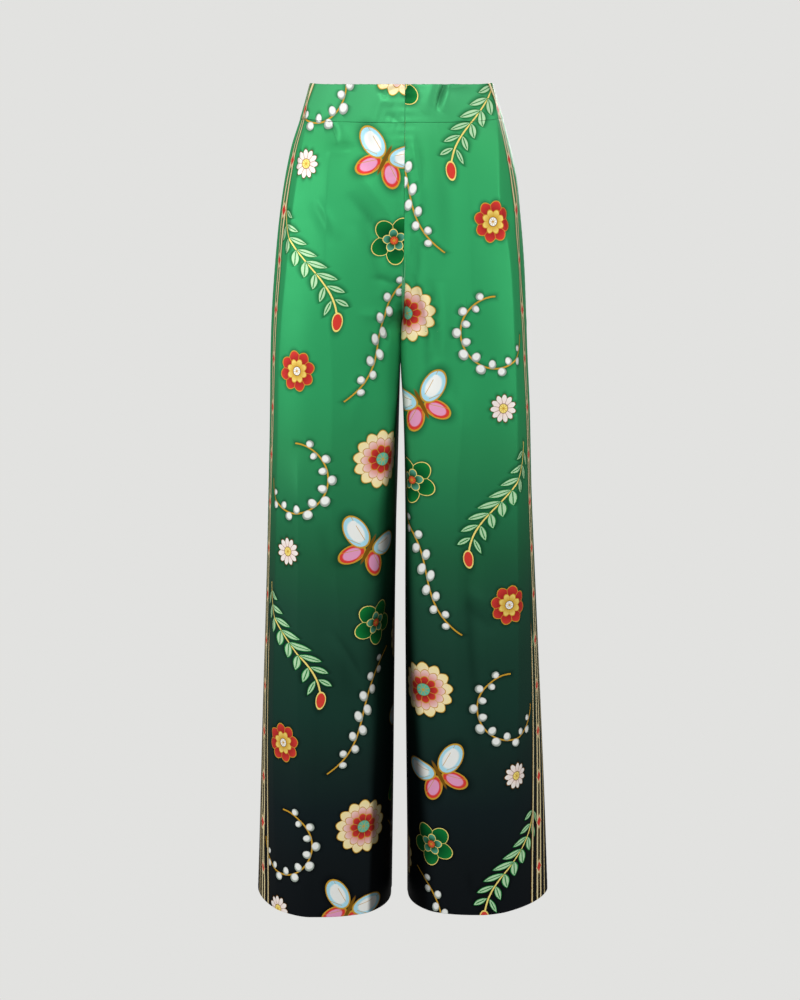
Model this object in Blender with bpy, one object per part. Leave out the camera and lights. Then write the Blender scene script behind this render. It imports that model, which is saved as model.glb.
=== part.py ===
"""High-waisted wide-leg pyjama trousers in their worn shape, with no wearer, as seven cloth walls.

Metres, +Z up. The origin is the middle of the waist opening, level with the waistband's top edge. The
front faces -Y and the wearer's left is +X. Heights are given as a drop below the waist edge. Each half
of a ring is drawn on the wearer's left and mirrored for the right, and each face is drawn outwards from
the side seams and mirrored for the front.
"""

from collections import namedtuple
from functools import lru_cache
from math import pi

import bmesh
import bpy
import numpy as np

# Driving sizes
OUTSEAM = 1.102
RISE = 0.310
BAND_AT_SIDE = 0.0445
BAND_DIP_AT_FRONT = 0.0035
CLOTH_WALL = 0.0012
BAND_WALL = 0.0020
SEAM_GAP = 0.0003

# Mesh density
LINE_POINTS = 160
FRONT_COLUMNS = 13
BACK_COLUMNS = 15
BAND_FRONT_COLUMNS = 12
BAND_BACK_COLUMNS = 68
BAND_ROWS = 3
HIP_ROWS = 7
CROTCH_ROWS = 9
LEG_ROWS = 16
CROTCH_ROW_CROWDING = 1.4
LEG_ROW_CROWDING = 1.25
EDGE_PULL = 3
STEP = 0.0005
SHARE_STEP = 0.002

RIGHT, LEFT = -1, 1
FRONT, BACK = -1, 1

# The worn form, ring by ring. right_side and left_side are the half widths on the wearer's right and
# left, front and back the depths ahead of and behind the side seams, and crown how far from the middle
# each half is deepest. middle is how far the centre seams lie to the wearer's left, gap half the space
# between the legs, and inseam how far the inseams lie ahead of the side seams.
Ring = namedtuple("Ring", "drop right_side left_side front back crown middle gap inseam")
RINGS = (
    Ring(0.000, 0.1174, 0.1163, 0.097, 0.094, 0.010, 0.0045, 0.0000, 0.020),
    Ring(0.046, 0.1322, 0.1321, 0.103, 0.102, 0.016, 0.0042, 0.0000, 0.020),
    Ring(0.077, 0.1428, 0.1411, 0.106, 0.109, 0.022, 0.0040, 0.0000, 0.020),
    Ring(0.108, 0.1500, 0.1485, 0.108, 0.115, 0.029, 0.0038, 0.0000, 0.020),
    Ring(0.170, 0.1600, 0.1564, 0.111, 0.124, 0.043, 0.0034, 0.0000, 0.020),
    Ring(0.233, 0.1665, 0.1620, 0.113, 0.128, 0.060, 0.0026, 0.0000, 0.020),
    Ring(0.310, 0.1720, 0.1657, 0.114, 0.126, 0.078, 0.0010, 0.0000, 0.020),
    Ring(0.352, 0.1736, 0.1676, 0.114, 0.123, 0.084, -0.0006, 0.0010, 0.019),
    Ring(0.414, 0.1752, 0.1710, 0.114, 0.120, 0.089, -0.0012, 0.0044, 0.018),
    Ring(0.545, 0.1794, 0.1754, 0.114, 0.118, 0.097, -0.0010, 0.0062, 0.016),
    Ring(0.680, 0.1838, 0.1827, 0.114, 0.117, 0.105, -0.0013, 0.0074, 0.014),
    Ring(0.815, 0.1888, 0.1902, 0.114, 0.116, 0.112, -0.0016, 0.0085, 0.012),
    Ring(0.952, 0.1942, 0.1973, 0.113, 0.116, 0.118, -0.0020, 0.0096, 0.010),
    Ring(1.102, 0.2006, 0.2042, 0.112, 0.116, 0.124, -0.0031, 0.0111, 0.008),
)

# The front of the left leg ends flatter than the right one's, and deepest nearer the middle.
LEFT_HEM_FLATTER = 0.009
LEFT_HEM_CROWN_IN = 0.015

# How far below the waistband the dip of its front edge still shows in the panels
DIP_FADE = 0.05

# The centre seam of each face: the drop at which it starts to turn under, how late it does, and how
# steeply it reaches the crotch point (0.5 is a quarter ellipse, 1 comes to a point). It stops a little
# short of the point.
Crotch = namedtuple("Crotch", "starts bend steepness")
CROTCH = {FRONT: Crotch(0.185, 4.2, 0.68), BACK: Crotch(0.140, 3.8, 0.66)}
CROTCH_STOPS = 0.9995

# How full the outside of a ring is, and the inside of each leg, from the crotch to the hem (2 is an
# ellipse, more is squarer).
Fullness = namedtuple("Fullness", "crotch hem")
OUTSIDE_FULLNESS = Fullness(2.15, 1.68)
INSIDE_FULLNESS = {
    (RIGHT, FRONT): Fullness(2.8, 2.5),
    (LEFT, FRONT): Fullness(3.6, 2.55),
    (RIGHT, BACK): Fullness(2.4, 2.3),
    (LEFT, BACK): Fullness(2.4, 2.3),
}

# The largest folds. top and foot are drops, at_top and at_foot distances from the side seam round the
# cloth, reach the fold's half width, and rise is positive for a ridge and negative for a trough.
Fold = namedtuple("Fold", "side face top foot at_top at_foot reach rise")
FOLDS = (
    Fold(RIGHT, FRONT, 0.060, 1.240, 0.070, 0.092, 0.024, 0.0040),
    Fold(RIGHT, FRONT, 0.060, 0.700, 0.122, 0.176, 0.024, 0.0026),
    Fold(RIGHT, FRONT, 0.312, 1.240, 0.242, 0.214, 0.026, 0.0050),
    Fold(LEFT, FRONT, 0.060, 1.240, 0.078, 0.110, 0.024, 0.0044),
    Fold(LEFT, FRONT, 0.340, 1.100, 0.166, 0.178, 0.024, 0.0026),
    Fold(LEFT, FRONT, 0.312, 1.240, 0.242, 0.216, 0.026, 0.0050),
    Fold(RIGHT, BACK, 0.240, 1.260, 0.082, 0.104, 0.025, 0.0044),
    Fold(RIGHT, BACK, 0.320, 0.980, 0.196, 0.208, 0.025, 0.0040),
    Fold(RIGHT, BACK, 0.312, 1.240, 0.262, 0.270, 0.026, 0.0054),
    Fold(LEFT, BACK, 0.260, 1.240, 0.074, 0.096, 0.025, 0.0046),
    Fold(LEFT, BACK, 0.320, 1.240, 0.130, 0.142, 0.025, 0.0040),
    Fold(LEFT, BACK, 0.312, 1.240, 0.258, 0.268, 0.026, 0.0054),
)

# The elastic draws the back waistband up into gathers, which start a little way in from the side seams.
GATHERS = 16
GATHER_RISE = 0.0014
GATHERS_START = 1 / 12

Finish = namedtuple("Finish", "colour roughness")
SATIN = Finish((0.06, 0.42, 0.13, 1.0), 0.42)
BAND_SATIN = Finish((0.07, 0.46, 0.15, 1.0), 0.42)

Panel = namedtuple("Panel", "name side face columns")
PANELS = (
    Panel("front_right", RIGHT, FRONT, FRONT_COLUMNS),
    Panel("front_left", LEFT, FRONT, FRONT_COLUMNS),
    Panel("back_right", RIGHT, BACK, BACK_COLUMNS),
    Panel("back_left", LEFT, BACK, BACK_COLUMNS),
)


def smooth(value):
    """Eases a value from 0 to 1, and holds it outside them."""
    value = np.clip(value, 0.0, 1.0)
    return value * value * (3.0 - 2.0 * value)


DROPS = np.array([ring.drop for ring in RINGS])
COLUMNS = {name: np.array([getattr(ring, name) for ring in RINGS]) for name in Ring._fields}
SLOPES = {name: np.gradient(values, DROPS) for name, values in COLUMNS.items()}


def along(column, drop):
    """A column of RINGS read at a drop, on a smooth curve through its rows."""
    row = int(np.clip(np.searchsorted(DROPS, drop) - 1, 0, len(DROPS) - 2))
    span = DROPS[row + 1] - DROPS[row]
    t = (drop - DROPS[row]) / span
    start, end = COLUMNS[column][row], COLUMNS[column][row + 1]
    start_slope, end_slope = SLOPES[column][row], SLOPES[column][row + 1]
    blend = start + (end - start) * t * t * (3.0 - 2.0 * t)
    return blend + span * t * (1.0 - t) * (start_slope * (1.0 - t) - end_slope * t)


def down_leg(drop):
    """0 at the crotch and above it, 1 at the hem."""
    return smooth((drop - RISE) / (OUTSEAM - RISE))


def half_line(side, face, drop, seam_gap):
    """Half a ring on one face as a dense line from the side seam to the centre seam or the inseam."""
    front_left = face == FRONT and side == LEFT
    depth = along("front" if face == FRONT else "back", drop)
    depth -= LEFT_HEM_FLATTER * down_leg(drop) if front_left else 0.0
    crown = along("crown", drop) - (LEFT_HEM_CROWN_IN * down_leg(drop) if front_left else 0.0)
    outer = along("right_side" if side == RIGHT else "left_side", drop)
    gap = max(along("gap", drop), 0.0) if drop > RISE else 0.0
    inner = side * along("middle", drop) + gap + seam_gap / 2
    base = -face * along("inseam", drop) + SEAM_GAP / 2

    crotch = CROTCH[face]
    under = np.clip((drop - crotch.starts) / (RISE - crotch.starts), 0.0, 1.0)
    end_share = min((1.0 - under**crotch.bend) ** crotch.steepness, CROTCH_STOPS)
    fullness = INSIDE_FULLNESS[side, face]
    power = 2.0 + (fullness.crotch - 2.0) * smooth(under)
    power += (fullness.hem - fullness.crotch) * down_leg(drop)
    cut = (1.0 - end_share**power) ** (1.0 / power)
    fullness = OUTSIDE_FULLNESS
    outside_power = fullness.crotch + (fullness.hem - fullness.crotch) * down_leg(drop)

    turn = np.linspace(0.0, pi / 2, LINE_POINTS)
    outside_x = crown + (outer - crown) * np.cos(turn) ** (2.0 / outside_power)
    outside_y = SEAM_GAP / 2 + (depth - SEAM_GAP / 2) * np.sin(turn) ** (2.0 / outside_power)
    turn = np.linspace(0.0, np.arcsin(min(cut ** (power / 2.0), 1.0)), LINE_POINTS)[1:]
    inside_x = crown - (crown - inner) / cut * np.sin(turn) ** (2.0 / power)
    inside_y = base + (depth - base) * np.maximum(np.cos(turn), 0.0) ** (2.0 / power)
    return np.concatenate([outside_x, inside_x]), np.concatenate([outside_y, inside_y])


def fold_rise(side, face, drop, distance):
    """How far the large folds carry the cloth outwards, at distances from the side seam."""
    total = np.zeros_like(distance)
    for fold in FOLDS:
        if (fold.side, fold.face) != (side, face) or not fold.top < drop < fold.foot:
            continue
        t = (drop - fold.top) / (fold.foot - fold.top)
        centre = fold.at_top + (fold.at_foot - fold.at_top) * t
        total += fold.rise * np.sin(pi * t) * np.exp(-(((distance - centre) / fold.reach) ** 2))
    return total


def line_lengths(line_x, line_y):
    """How far each point of a line lies along it."""
    return np.concatenate([[0.0], np.cumsum(np.hypot(np.diff(line_x), np.diff(line_y)))])


@lru_cache(maxsize=None)
def width_at(side, face, drop):
    """A panel's width at a drop, measured round the cloth."""
    return line_lengths(*half_line(side, face, drop, SEAM_GAP))[-1]


def steady_width(side, face, drop, width):
    """A panel's width with its quick growth at the crotch spread evenly over the centre seam."""
    starts = CROTCH[face].starts
    if not starts < drop < RISE:
        return width
    under = smooth((drop - starts) / (RISE - starts))
    return width_at(side, face, starts) * (1.0 - under) + width_at(side, face, RISE) * under


def place(side, face, drop, shares, seam_gap=SEAM_GAP, gathers=0):
    """The cloth's outer surface at shares of the way from the side seam to the panel's other edge."""
    line_x, line_y = half_line(side, face, drop, seam_gap)
    gone = line_lengths(line_x, line_y)
    steady = steady_width(side, face, drop, gone[-1])
    distance = steady * shares + (gone[-1] - steady) * shares**EDGE_PULL
    x, y = np.interp(distance, gone, line_x), np.interp(distance, gone, line_y)

    near, far = np.clip(distance - STEP, 0.0, None), np.clip(distance + STEP, None, gone[-1])
    along_x = np.interp(far, gone, line_x) - np.interp(near, gone, line_x)
    along_y = np.interp(far, gone, line_y) - np.interp(near, gone, line_y)
    length = np.hypot(along_x, along_y)
    rise = fold_rise(side, face, drop, distance)
    if gathers:
        wave = np.sin(pi * gathers * (shares - 1.0) - pi / 2)
        rise = rise + GATHER_RISE * smooth(shares / GATHERS_START) * wave
    x, y = x + rise * along_y / length, y - rise * along_x / length

    dip = 0.0
    if face == FRONT:
        fade = min(drop / BAND_AT_SIDE, 1.0) * (1.0 - smooth((drop - BAND_AT_SIDE) / DIP_FADE))
        dip = BAND_DIP_AT_FRONT * smooth(shares) * fade
    height = np.full_like(x, -drop) - dip
    return np.stack([side * x, face * y, height], axis=1)


def wall_grids(draw, drops, shares, wall):
    """A cloth wall's outer and inner points as grids of rows and columns, wall apart."""
    outer = np.array([draw(drop, shares) for drop in drops])
    before = np.array([draw(drop, np.clip(shares - SHARE_STEP, 0.0, None)) for drop in drops])
    after = np.array([draw(drop, np.clip(shares + SHARE_STEP, None, 1.0)) for drop in drops])
    above = np.array([draw(max(drop - STEP, drops[0]), shares) for drop in drops])
    below = np.array([draw(min(drop + STEP, drops[-1]), shares) for drop in drops])
    normal = np.cross(after - before, below - above)
    normal[[0, -1], :, 2] = 0.0
    normal /= np.linalg.norm(normal, axis=2, keepdims=True)
    outwards = np.sign(normal[:, :1, :1] * outer[:, :1, :1])
    return outer, outer - normal * outwards * wall


def build_wall(name, outer, inner, finish):
    """A closed solid between an outer and an inner grid, as a named object with its own material."""
    rows, columns = outer.shape[:2]
    count = rows * columns
    faces = []

    def number(row, column, layer):
        return layer * count + row * columns + column

    for row in range(rows - 1):
        for column in range(columns - 1):
            corners = ((row, column), (row, column + 1), (row + 1, column + 1), (row + 1, column))
            faces.append([number(*corner, 0) for corner in corners])
            faces.append([number(*corner, 1) for corner in reversed(corners)])
    edge = [(0, column) for column in range(columns)]
    edge += [(row, columns - 1) for row in range(1, rows)]
    edge += [(rows - 1, column) for column in range(columns - 2, -1, -1)]
    edge += [(row, 0) for row in range(rows - 2, 0, -1)]
    for here, there in zip(edge, edge[1:] + edge[:1]):
        faces.append([number(*there, 0), number(*here, 0), number(*here, 1), number(*there, 1)])

    mesh = bpy.data.meshes.new(name)
    mesh.from_pydata(np.concatenate([outer.reshape(-1, 3), inner.reshape(-1, 3)]).tolist(), [], faces)
    form = bmesh.new()
    form.from_mesh(mesh)
    bmesh.ops.recalc_face_normals(form, faces=form.faces)
    form.to_mesh(mesh)
    form.free()
    mesh.shade_smooth()

    cloth = bpy.data.materials.new(name)
    cloth.use_nodes = True
    shader = cloth.node_tree.nodes["Principled BSDF"]
    shader.inputs["Base Color"].default_value = finish.colour
    shader.inputs["Roughness"].default_value = finish.roughness
    shader.inputs["Metallic"].default_value = 0.0
    mesh.materials.append(cloth)
    wall = bpy.data.objects.new(name, mesh)
    bpy.context.scene.collection.objects.link(wall)
    return wall


def panel_drops(face):
    """The rows of a leg panel: close together where the centre seam turns under, wider below."""
    top = BAND_AT_SIDE + SEAM_GAP / 2
    starts = CROTCH[face].starts
    hip = np.linspace(top, starts, HIP_ROWS, endpoint=False)
    under = 1.0 - np.linspace(1.0, 0.0, CROTCH_ROWS, endpoint=False) ** CROTCH_ROW_CROWDING
    crotch = starts + (RISE - starts) * under
    leg = RISE + (OUTSEAM - RISE) * np.linspace(0.0, 1.0, LEG_ROWS) ** LEG_ROW_CROWDING
    return np.concatenate([hip, crotch, leg])


def build_panel(panel):
    """One leg panel, from the waistband down to the hem."""
    shares = np.linspace(0.0, 1.0, panel.columns)

    def draw(drop, at):
        return place(panel.side, panel.face, drop, at)

    outer, inner = wall_grids(draw, panel_drops(panel.face), shares, CLOTH_WALL)
    build_wall(panel.name, outer, inner, SATIN)


def band_drops():
    """The rows of a waistband piece."""
    return np.linspace(0.0, BAND_AT_SIDE - SEAM_GAP / 2, BAND_ROWS)


def build_front_band(name, side):
    """Half the front waistband, from the side seam to the centre-front seam."""
    shares = np.linspace(0.0, 1.0, BAND_FRONT_COLUMNS)

    def draw(drop, at):
        return place(side, FRONT, drop, at)

    outer, inner = wall_grids(draw, band_drops(), shares, BAND_WALL)
    build_wall(name, outer, inner, BAND_SATIN)


def build_back_band(name):
    """The one-piece back waistband, from one side seam round the back to the other."""
    shares = np.linspace(0.0, 1.0, BAND_BACK_COLUMNS // 2 + 1)
    grids = []
    for side in (RIGHT, LEFT):
        def draw(drop, at, side=side):
            return place(side, BACK, drop, at, seam_gap=0.0, gathers=GATHERS)

        grids.append(wall_grids(draw, band_drops(), shares, BAND_WALL))
    outer, inner = (
        np.concatenate([grids[0][layer], grids[1][layer][:, -2::-1]], axis=1) for layer in (0, 1)
    )
    build_wall(name, outer, inner, BAND_SATIN)


def main():
    for item in list(bpy.data.objects):
        bpy.data.objects.remove(item, do_unlink=True)
    for panel in PANELS:
        build_panel(panel)
    build_front_band("waistband_front_right", RIGHT)
    build_front_band("waistband_front_left", LEFT)
    build_back_band("waistband_back")


main()
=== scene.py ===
"""Dresses a pair of wide-leg pyjama trousers in printed silk satin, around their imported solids.

Metres, +Z up, the front faces -Y and the wearer's left is +X. The cloth is drawn as a grid of points for
each cut piece: rows are drops below the waist edge, and columns are distances round the body or the leg
from the side seam. The print is drawn in centimetres on the flat cloth.
"""

from collections import namedtuple
from functools import partialmethod
from math import cos, pi, radians, sin, tau

import bpy
import numpy as np
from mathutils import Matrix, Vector


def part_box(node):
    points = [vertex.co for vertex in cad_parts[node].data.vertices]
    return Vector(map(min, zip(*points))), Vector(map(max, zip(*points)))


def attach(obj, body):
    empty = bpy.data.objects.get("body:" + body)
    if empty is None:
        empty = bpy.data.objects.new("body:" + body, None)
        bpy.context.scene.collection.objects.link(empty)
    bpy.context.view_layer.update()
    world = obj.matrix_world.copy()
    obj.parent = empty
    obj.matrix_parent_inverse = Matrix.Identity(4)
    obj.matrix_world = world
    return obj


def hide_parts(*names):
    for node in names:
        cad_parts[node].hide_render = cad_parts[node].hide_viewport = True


bl_info = {
    "name": "Pyjama Trousers",
    "version": (1, 0, 0),
    "blender": (4, 5, 0),
    "location": "3D View > Sidebar > Trousers",
    "description": "Builds wide-leg pyjama trousers in printed silk satin",
    "category": "Add Mesh",
}

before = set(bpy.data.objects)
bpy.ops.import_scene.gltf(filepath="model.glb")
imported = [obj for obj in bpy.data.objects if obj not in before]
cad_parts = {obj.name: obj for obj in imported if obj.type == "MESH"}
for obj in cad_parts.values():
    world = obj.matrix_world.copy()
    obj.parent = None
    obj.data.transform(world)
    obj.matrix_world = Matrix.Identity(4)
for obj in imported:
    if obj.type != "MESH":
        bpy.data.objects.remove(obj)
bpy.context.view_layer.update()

RIGHT, LEFT = -1, 1
FRONT, BACK = -1, 1

MILLIMETRE = 0.001
CENTIMETRE = 0.01
TINY = 1e-12

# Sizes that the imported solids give
OUTSEAM = -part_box("front_right")[0].z
BAND_AT_SIDE = -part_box("waistband_back")[0].z
HEM_LEVEL = -OUTSEAM

# The cut, as the solids have it
RISE = 0.310
BAND_DIP_AT_FRONT = 0.0035
DIP_RUN_OUT = 0.05

# Rings round the body and the legs, in millimetres: the drop below the waist edge, how far each side seam
# stands from the middle, the depths of the front and the back, how far from the middle they are deepest,
# where the centre seams run, half the gap between the legs, and how far forward the inseams lie
Ring = namedtuple("Ring", "drop right_side left_side front back crown middle gap inseam")
RINGS = (
    Ring(0, 117.4, 116.3, 97, 94, 10, 4.5, 0, 20),
    Ring(46, 132.2, 132.1, 103, 102, 16, 4.2, 0, 20),
    Ring(77, 142.8, 141.1, 106, 109, 22, 4, 0, 20),
    Ring(108, 150, 148.5, 108, 115, 29, 3.8, 0, 20),
    Ring(170, 160, 156.4, 111, 124, 43, 3.4, 0, 20),
    Ring(233, 166.5, 162, 113, 128, 60, 2.6, 0, 20),
    Ring(310, 172, 165.7, 114, 126, 78, 1, 0, 20),
    Ring(352, 173.6, 167.6, 114, 123, 84, -0.6, 1, 19),
    Ring(414, 175.2, 171, 114, 120, 89, -1.2, 4.4, 18),
    Ring(545, 179.4, 175.4, 114, 118, 97, -1, 6.2, 16),
    Ring(680, 183.8, 182.7, 114, 117, 105, -1.3, 7.4, 14),
    Ring(815, 188.8, 190.2, 114, 116, 112, -1.6, 8.5, 12),
    Ring(952, 194.2, 197.3, 113, 116, 118, -2, 9.6, 10),
    Ring(1102, 200.6, 204.2, 112, 116, 124, -3.1, 11.1, 8),
)
COLUMNS = dict(zip(Ring._fields, np.array(RINGS).T * MILLIMETRE))
DROPS = COLUMNS["drop"]
SLOPES = {name: np.gradient(values, DROPS) for name, values in COLUMNS.items()}

# The front of the left leg ends flatter at the hem, and deepest nearer the middle
LEFT_HEM_FLATTER = 0.009
LEFT_HEM_CROWN_IN = 0.015

# The centre seam of each face: the drop at which it starts to turn under, and how late and how sharply.
# HIGHEST_SEAM is the most that it keeps of the ring's depth.
Crotch = namedtuple("Crotch", "starts bend steepness")
CROTCH = {FRONT: Crotch(0.185, 4.2, 0.68), BACK: Crotch(0.140, 3.8, 0.66)}
HIGHEST_SEAM = 0.9995

# How full a ring is on either side of its deepest place, at the crotch and at the hem: 2 is an ellipse, and
# more is squarer
Fullness = namedtuple("Fullness", "crotch hem")
OUTSIDE_FULLNESS = Fullness(2.15, 1.68)
INSIDE_FULLNESS = {
    (RIGHT, FRONT): Fullness(2.8, 2.5),
    (LEFT, FRONT): Fullness(3.6, 2.55),
    (RIGHT, BACK): Fullness(2.4, 2.3),
    (LEFT, BACK): Fullness(2.4, 2.3),
}

# How the cloth is sewn: how far an edge stands from its seam, and its turning, in millimetres from the seam
# and below the face. A side seam's turnings bend towards the front at one of these places.
HALF_SEAM_GAP = 0.00008
Turn = namedtuple("Turn", "away deep")
SEAM_TURN = (
    Turn(0.0, 3.0), Turn(0.0, 1.5), Turn(0.0, 0.62), Turn(0.06, 0.32),
    Turn(0.20, 0.16), Turn(0.55, 0.07), Turn(1.25, 0.02), Turn(2.2, 0.0),
)
TURN_AWAY, TURN_DEEP = np.array(SEAM_TURN).T * MILLIMETRE
SIDE_SEAM_BEND = 0.00028
BENT_TURN = 1
# Four seams meet at the crotch, so their turnings are shallower round it
CROTCH_FADE = 0.85
CROTCH_FADE_RUN = 0.012

# The grid of a piece: its columns, how much they crowd together at the pressed edges, how close to the
# centre seam the seam's own turn is taken up and the edges end, the spacing of rows, and the steps and the
# turn in degrees of a folded edge. Slopes are measured over STEP.
PANEL_COLUMNS = 120
BAND_COLUMNS = 100
COLUMN_CROWDING = 0.55
EDGE_PULL = 6
LAST_STRETCH = 0.012
FINE_ROWS = 0.0022
LEG_ROWS = 0.0040
BAND_ROWS = 0.0018
FINE_BELOW_RISE = 0.04
FOLD_STEPS = 7
FOLD_TURN = 84.0
STEP = 0.0005

# Pressed edges down the length of a leg, where one flat stretch of satin turns into the next. path gives
# distances from the side seam at drops, starts and ends are the drops between which the edge shows, lean is
# how far the cloth leans away on either side, and rise is the height of the edge.
Edge = namedtuple("Edge", "path starts ends lean rise")


def edge_rows(*rows):
    """Edges in metres, from rows in millimetres."""
    return tuple(
        Edge(np.array(path) * MILLIMETRE, *(size * MILLIMETRE for size in sizes)) for path, *sizes in rows
    )


FRONT_RIGHT_EDGES = edge_rows(
    (((36, 0), (63, 62), (76, 180), (78, 400), (80, 700), (82, 990), (90, 1100)), -100, 1300, 20, 5.5),
    (((84, 0), (100, 350), (119, 540), (122, 700), (127, 910), (134, 1100)), 460, 1100, 20, 4.8),
    (((100, 0), (114, 83), (128, 160), (143, 257), (157, 350), (161, 500), (168, 610), (178, 720),
      (184, 1100)), 50, 800, 22, 4.4),
    (((182, 0), (222, 230), (246, 320), (248, 370), (240, 442), (221, 520), (213, 640), (210, 732),
      (219, 845), (225, 1000), (225, 1100)), 270, 1300, 22, 9),
)
FRONT_LEFT_EDGES = edge_rows(
    (((36, 0), (64, 61), (88, 133), (86, 215), (91, 330), (93, 450), (95, 690), (97, 830), (105, 1000),
      (119, 1100)), -100, 1300, 20, 6),
    (((112, 0), (122, 80), (131, 150), (141, 215), (150, 300), (156, 420), (150, 700), (148, 1100)),
     90, 340, 20, 3),
    (((140, 0), (152, 200), (163, 360), (170, 450), (176, 520), (175, 600), (180, 760), (177, 920),
      (172, 1100)), 360, 1060, 22, 4),
    (((182, 0), (222, 230), (241, 330), (240, 400), (235, 510), (234, 720), (225, 840), (221, 970),
      (220, 1100)), 260, 1300, 22, 9),
)
BACK_RIGHT_EDGES = edge_rows(
    (((60, 0), (82, 200), (86, 500), (94, 800), (104, 1100)), 220, 1300, 22, 5.5),
    (((110, 0), (140, 250), (150, 500), (146, 700), (158, 1100)), 340, 1200, 24, 4.2),
    (((160, 0), (190, 250), (212, 450), (206, 800), (214, 1100)), 300, 900, 24, 4.8),
    (((190, 0), (226, 240), (272, 340), (270, 600), (264, 850), (268, 1100)), 300, 1300, 24, 8.5),
)
BACK_LEFT_EDGES = edge_rows(
    (((56, 0), (74, 200), (78, 450), (90, 800), (96, 1100)), 260, 1300, 22, 5.8),
    (((104, 0), (126, 220), (132, 480), (144, 760), (140, 1100)), 300, 1300, 24, 4.6),
    (((156, 0), (184, 260), (196, 500), (212, 800), (210, 1100)), 440, 1300, 24, 4.6),
    (((190, 0), (226, 240), (266, 340), (262, 560), (272, 850), (266, 1100)), 300, 1300, 24, 8.5),
)

# Painted shade where the legs face each other: the distances from the side seam at which the satin starts
# to be darkened and at which it is darkest, at drops, in millimetres
Shade = namedtuple("Shade", "drop starts full")
INNER_SHADE = {
    (RIGHT, FRONT): (
        (300, 238, 262), (456, 232, 264), (505, 214, 256),
        (544, 200, 244), (624, 196, 240), (704, 194, 236),
        (748, 198, 234), (831, 211, 236), (914, 214, 231),
        (956, 221, 230), (1100, 223, 231),
    ),
    (LEFT, FRONT): (
        (300, 240, 262), (467, 230, 252), (583, 229, 249),
        (668, 227, 250), (748, 224, 248), (831, 219, 244),
        (917, 215, 237), (1000, 212, 236), (1100, 212, 236),
    ),
    (RIGHT, BACK): ((300, 264, 288), (600, 262, 284), (1100, 262, 280)),
    (LEFT, BACK): ((300, 260, 286), (600, 258, 280), (1100, 260, 280)),
}

# Creases of the cloth. Each runs from a distance from the side seam and a drop to another. bow bends it
# sideways, reach is its half width, and rise is positive for a ridge and negative for a trough. crisp is
# 2 for a soft roll and nearer 1 for a sharp fold. CREASE_TAPER is how soon all of them reach their height.
CREASE_TAPER = 0.8
Crease = namedtuple("Crease", "at drop to to_drop bow reach rise crisp")


def crease_rows(*rows):
    """Creases in metres, from rows in millimetres, all but crisp."""
    return tuple(Crease(*(size * MILLIMETRE for size in sizes), crisp) for *sizes, crisp in rows)


FRONT_RIGHT_CREASES = crease_rows(
    # below the waistband
    (88, 40, 120, 74, 1.5, 4.2, -2.2, 1.3),
    (101, 40, 130, 68, 1.5, 6.5, 1.5, 1.7),
    (102, 71, 146, 75, -1, 4, -1.9, 1.3),
    (108, 82, 142, 84, -1, 5.5, 1.1, 1.8),
    (147, 46, 167, 90, 2, 5, -1.5, 1.5),
    (146, 100, 228, 190, 4, 8.5, 2.6, 1.3),
    (150, 134, 218, 212, 4, 8, -2.2, 1.5),
    (196, 90, 232, 150, 2, 6, -1.2, 1.6),
    (108, 140, 150, 194, 3, 6, 1.3, 1.4),
    (102, 148, 142, 200, 3, 7, -1, 1.8),
    (160, 176, 198, 256, 4, 7, 1.1, 1.6),
    (172, 168, 212, 262, 4, 7, -1.2, 1.6),
    (186, 170, 226, 256, 3, 7, 1, 1.6),
    (30, 90, 60, 236, -4, 12, 1.2, 2),
    (226, 70, 244, 262, 0.5, 3, 0.7, 1.6),
    # into the crotch
    (238, 256, 196, 240, -3, 5.5, -1.5, 1.5),
    (244, 282, 186, 286, 5, 7.5, 1.8, 1.5),
    (240, 292, 196, 374, -6, 6.5, -2.3, 1.4),
    (232, 310, 184, 440, -7, 9, 1.8, 1.7),
    # at the knee and below
    (166, 700, 208, 776, 3, 5, -1.6, 1.3),
    (158, 704, 200, 792, 3, 9, 1.2, 1.9),
    (150, 560, 172, 640, -3, 8, -0.9, 2),
    (180, 900, 206, 1010, 4, 10, 1, 1.9),
    (30, 960, 52, 1070, 3, 9, 1.2, 1.9),
)

FRONT_LEFT_CREASES = crease_rows(
    # beside the centre seam
    (188, 46, 197, 168, -3, 5.5, 1.6, 1.5),
    (178, 60, 189, 130, -2, 5, -1.2, 1.6),
    (211, 174, 218, 212, 1, 3.4, 1.6, 1.4),
    (204, 190, 212, 250, -1, 5.5, -1.3, 1.7),
    (158, 60, 176, 240, -4, 12, -1.3, 2),
    (20, 100, 72, 190, -4, 11, 1.2, 2),
    (34, 180, 60, 300, -4, 11, -1.2, 2),
    # into the crotch
    (226, 236, 224, 330, 1, 6, 1.8, 1.5),
    (217, 236, 209, 358, -4, 4.2, -2.8, 1.3),
    (203, 262, 206, 330, 1, 6, 1.3, 1.7),
    (194, 242, 197, 350, -3, 4.5, -2.2, 1.4),
    (183, 246, 188, 340, -3, 5.5, 1.9, 1.5),
    (206, 334, 211, 384, 0, 5, -1.4, 1.7),
    (196, 350, 160, 430, -4, 9, -1, 1.9),
    # at the knee and below
    (166, 590, 150, 860, 3, 8.5, -2, 1.8),
    (140, 600, 130, 850, 3, 9.5, 1.6, 1.9),
    (168, 644, 128, 672, 3, 9, 1.2, 1.8),
    (168, 664, 122, 706, 3, 9, -1.3, 1.8),
    (168, 800, 150, 900, -3, 10, -1.1, 2),
    (196, 920, 186, 1010, 2, 9, 1.2, 1.9),
    (166, 1040, 158, 1090, 2, 6, -1.3, 1.6),
)

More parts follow.
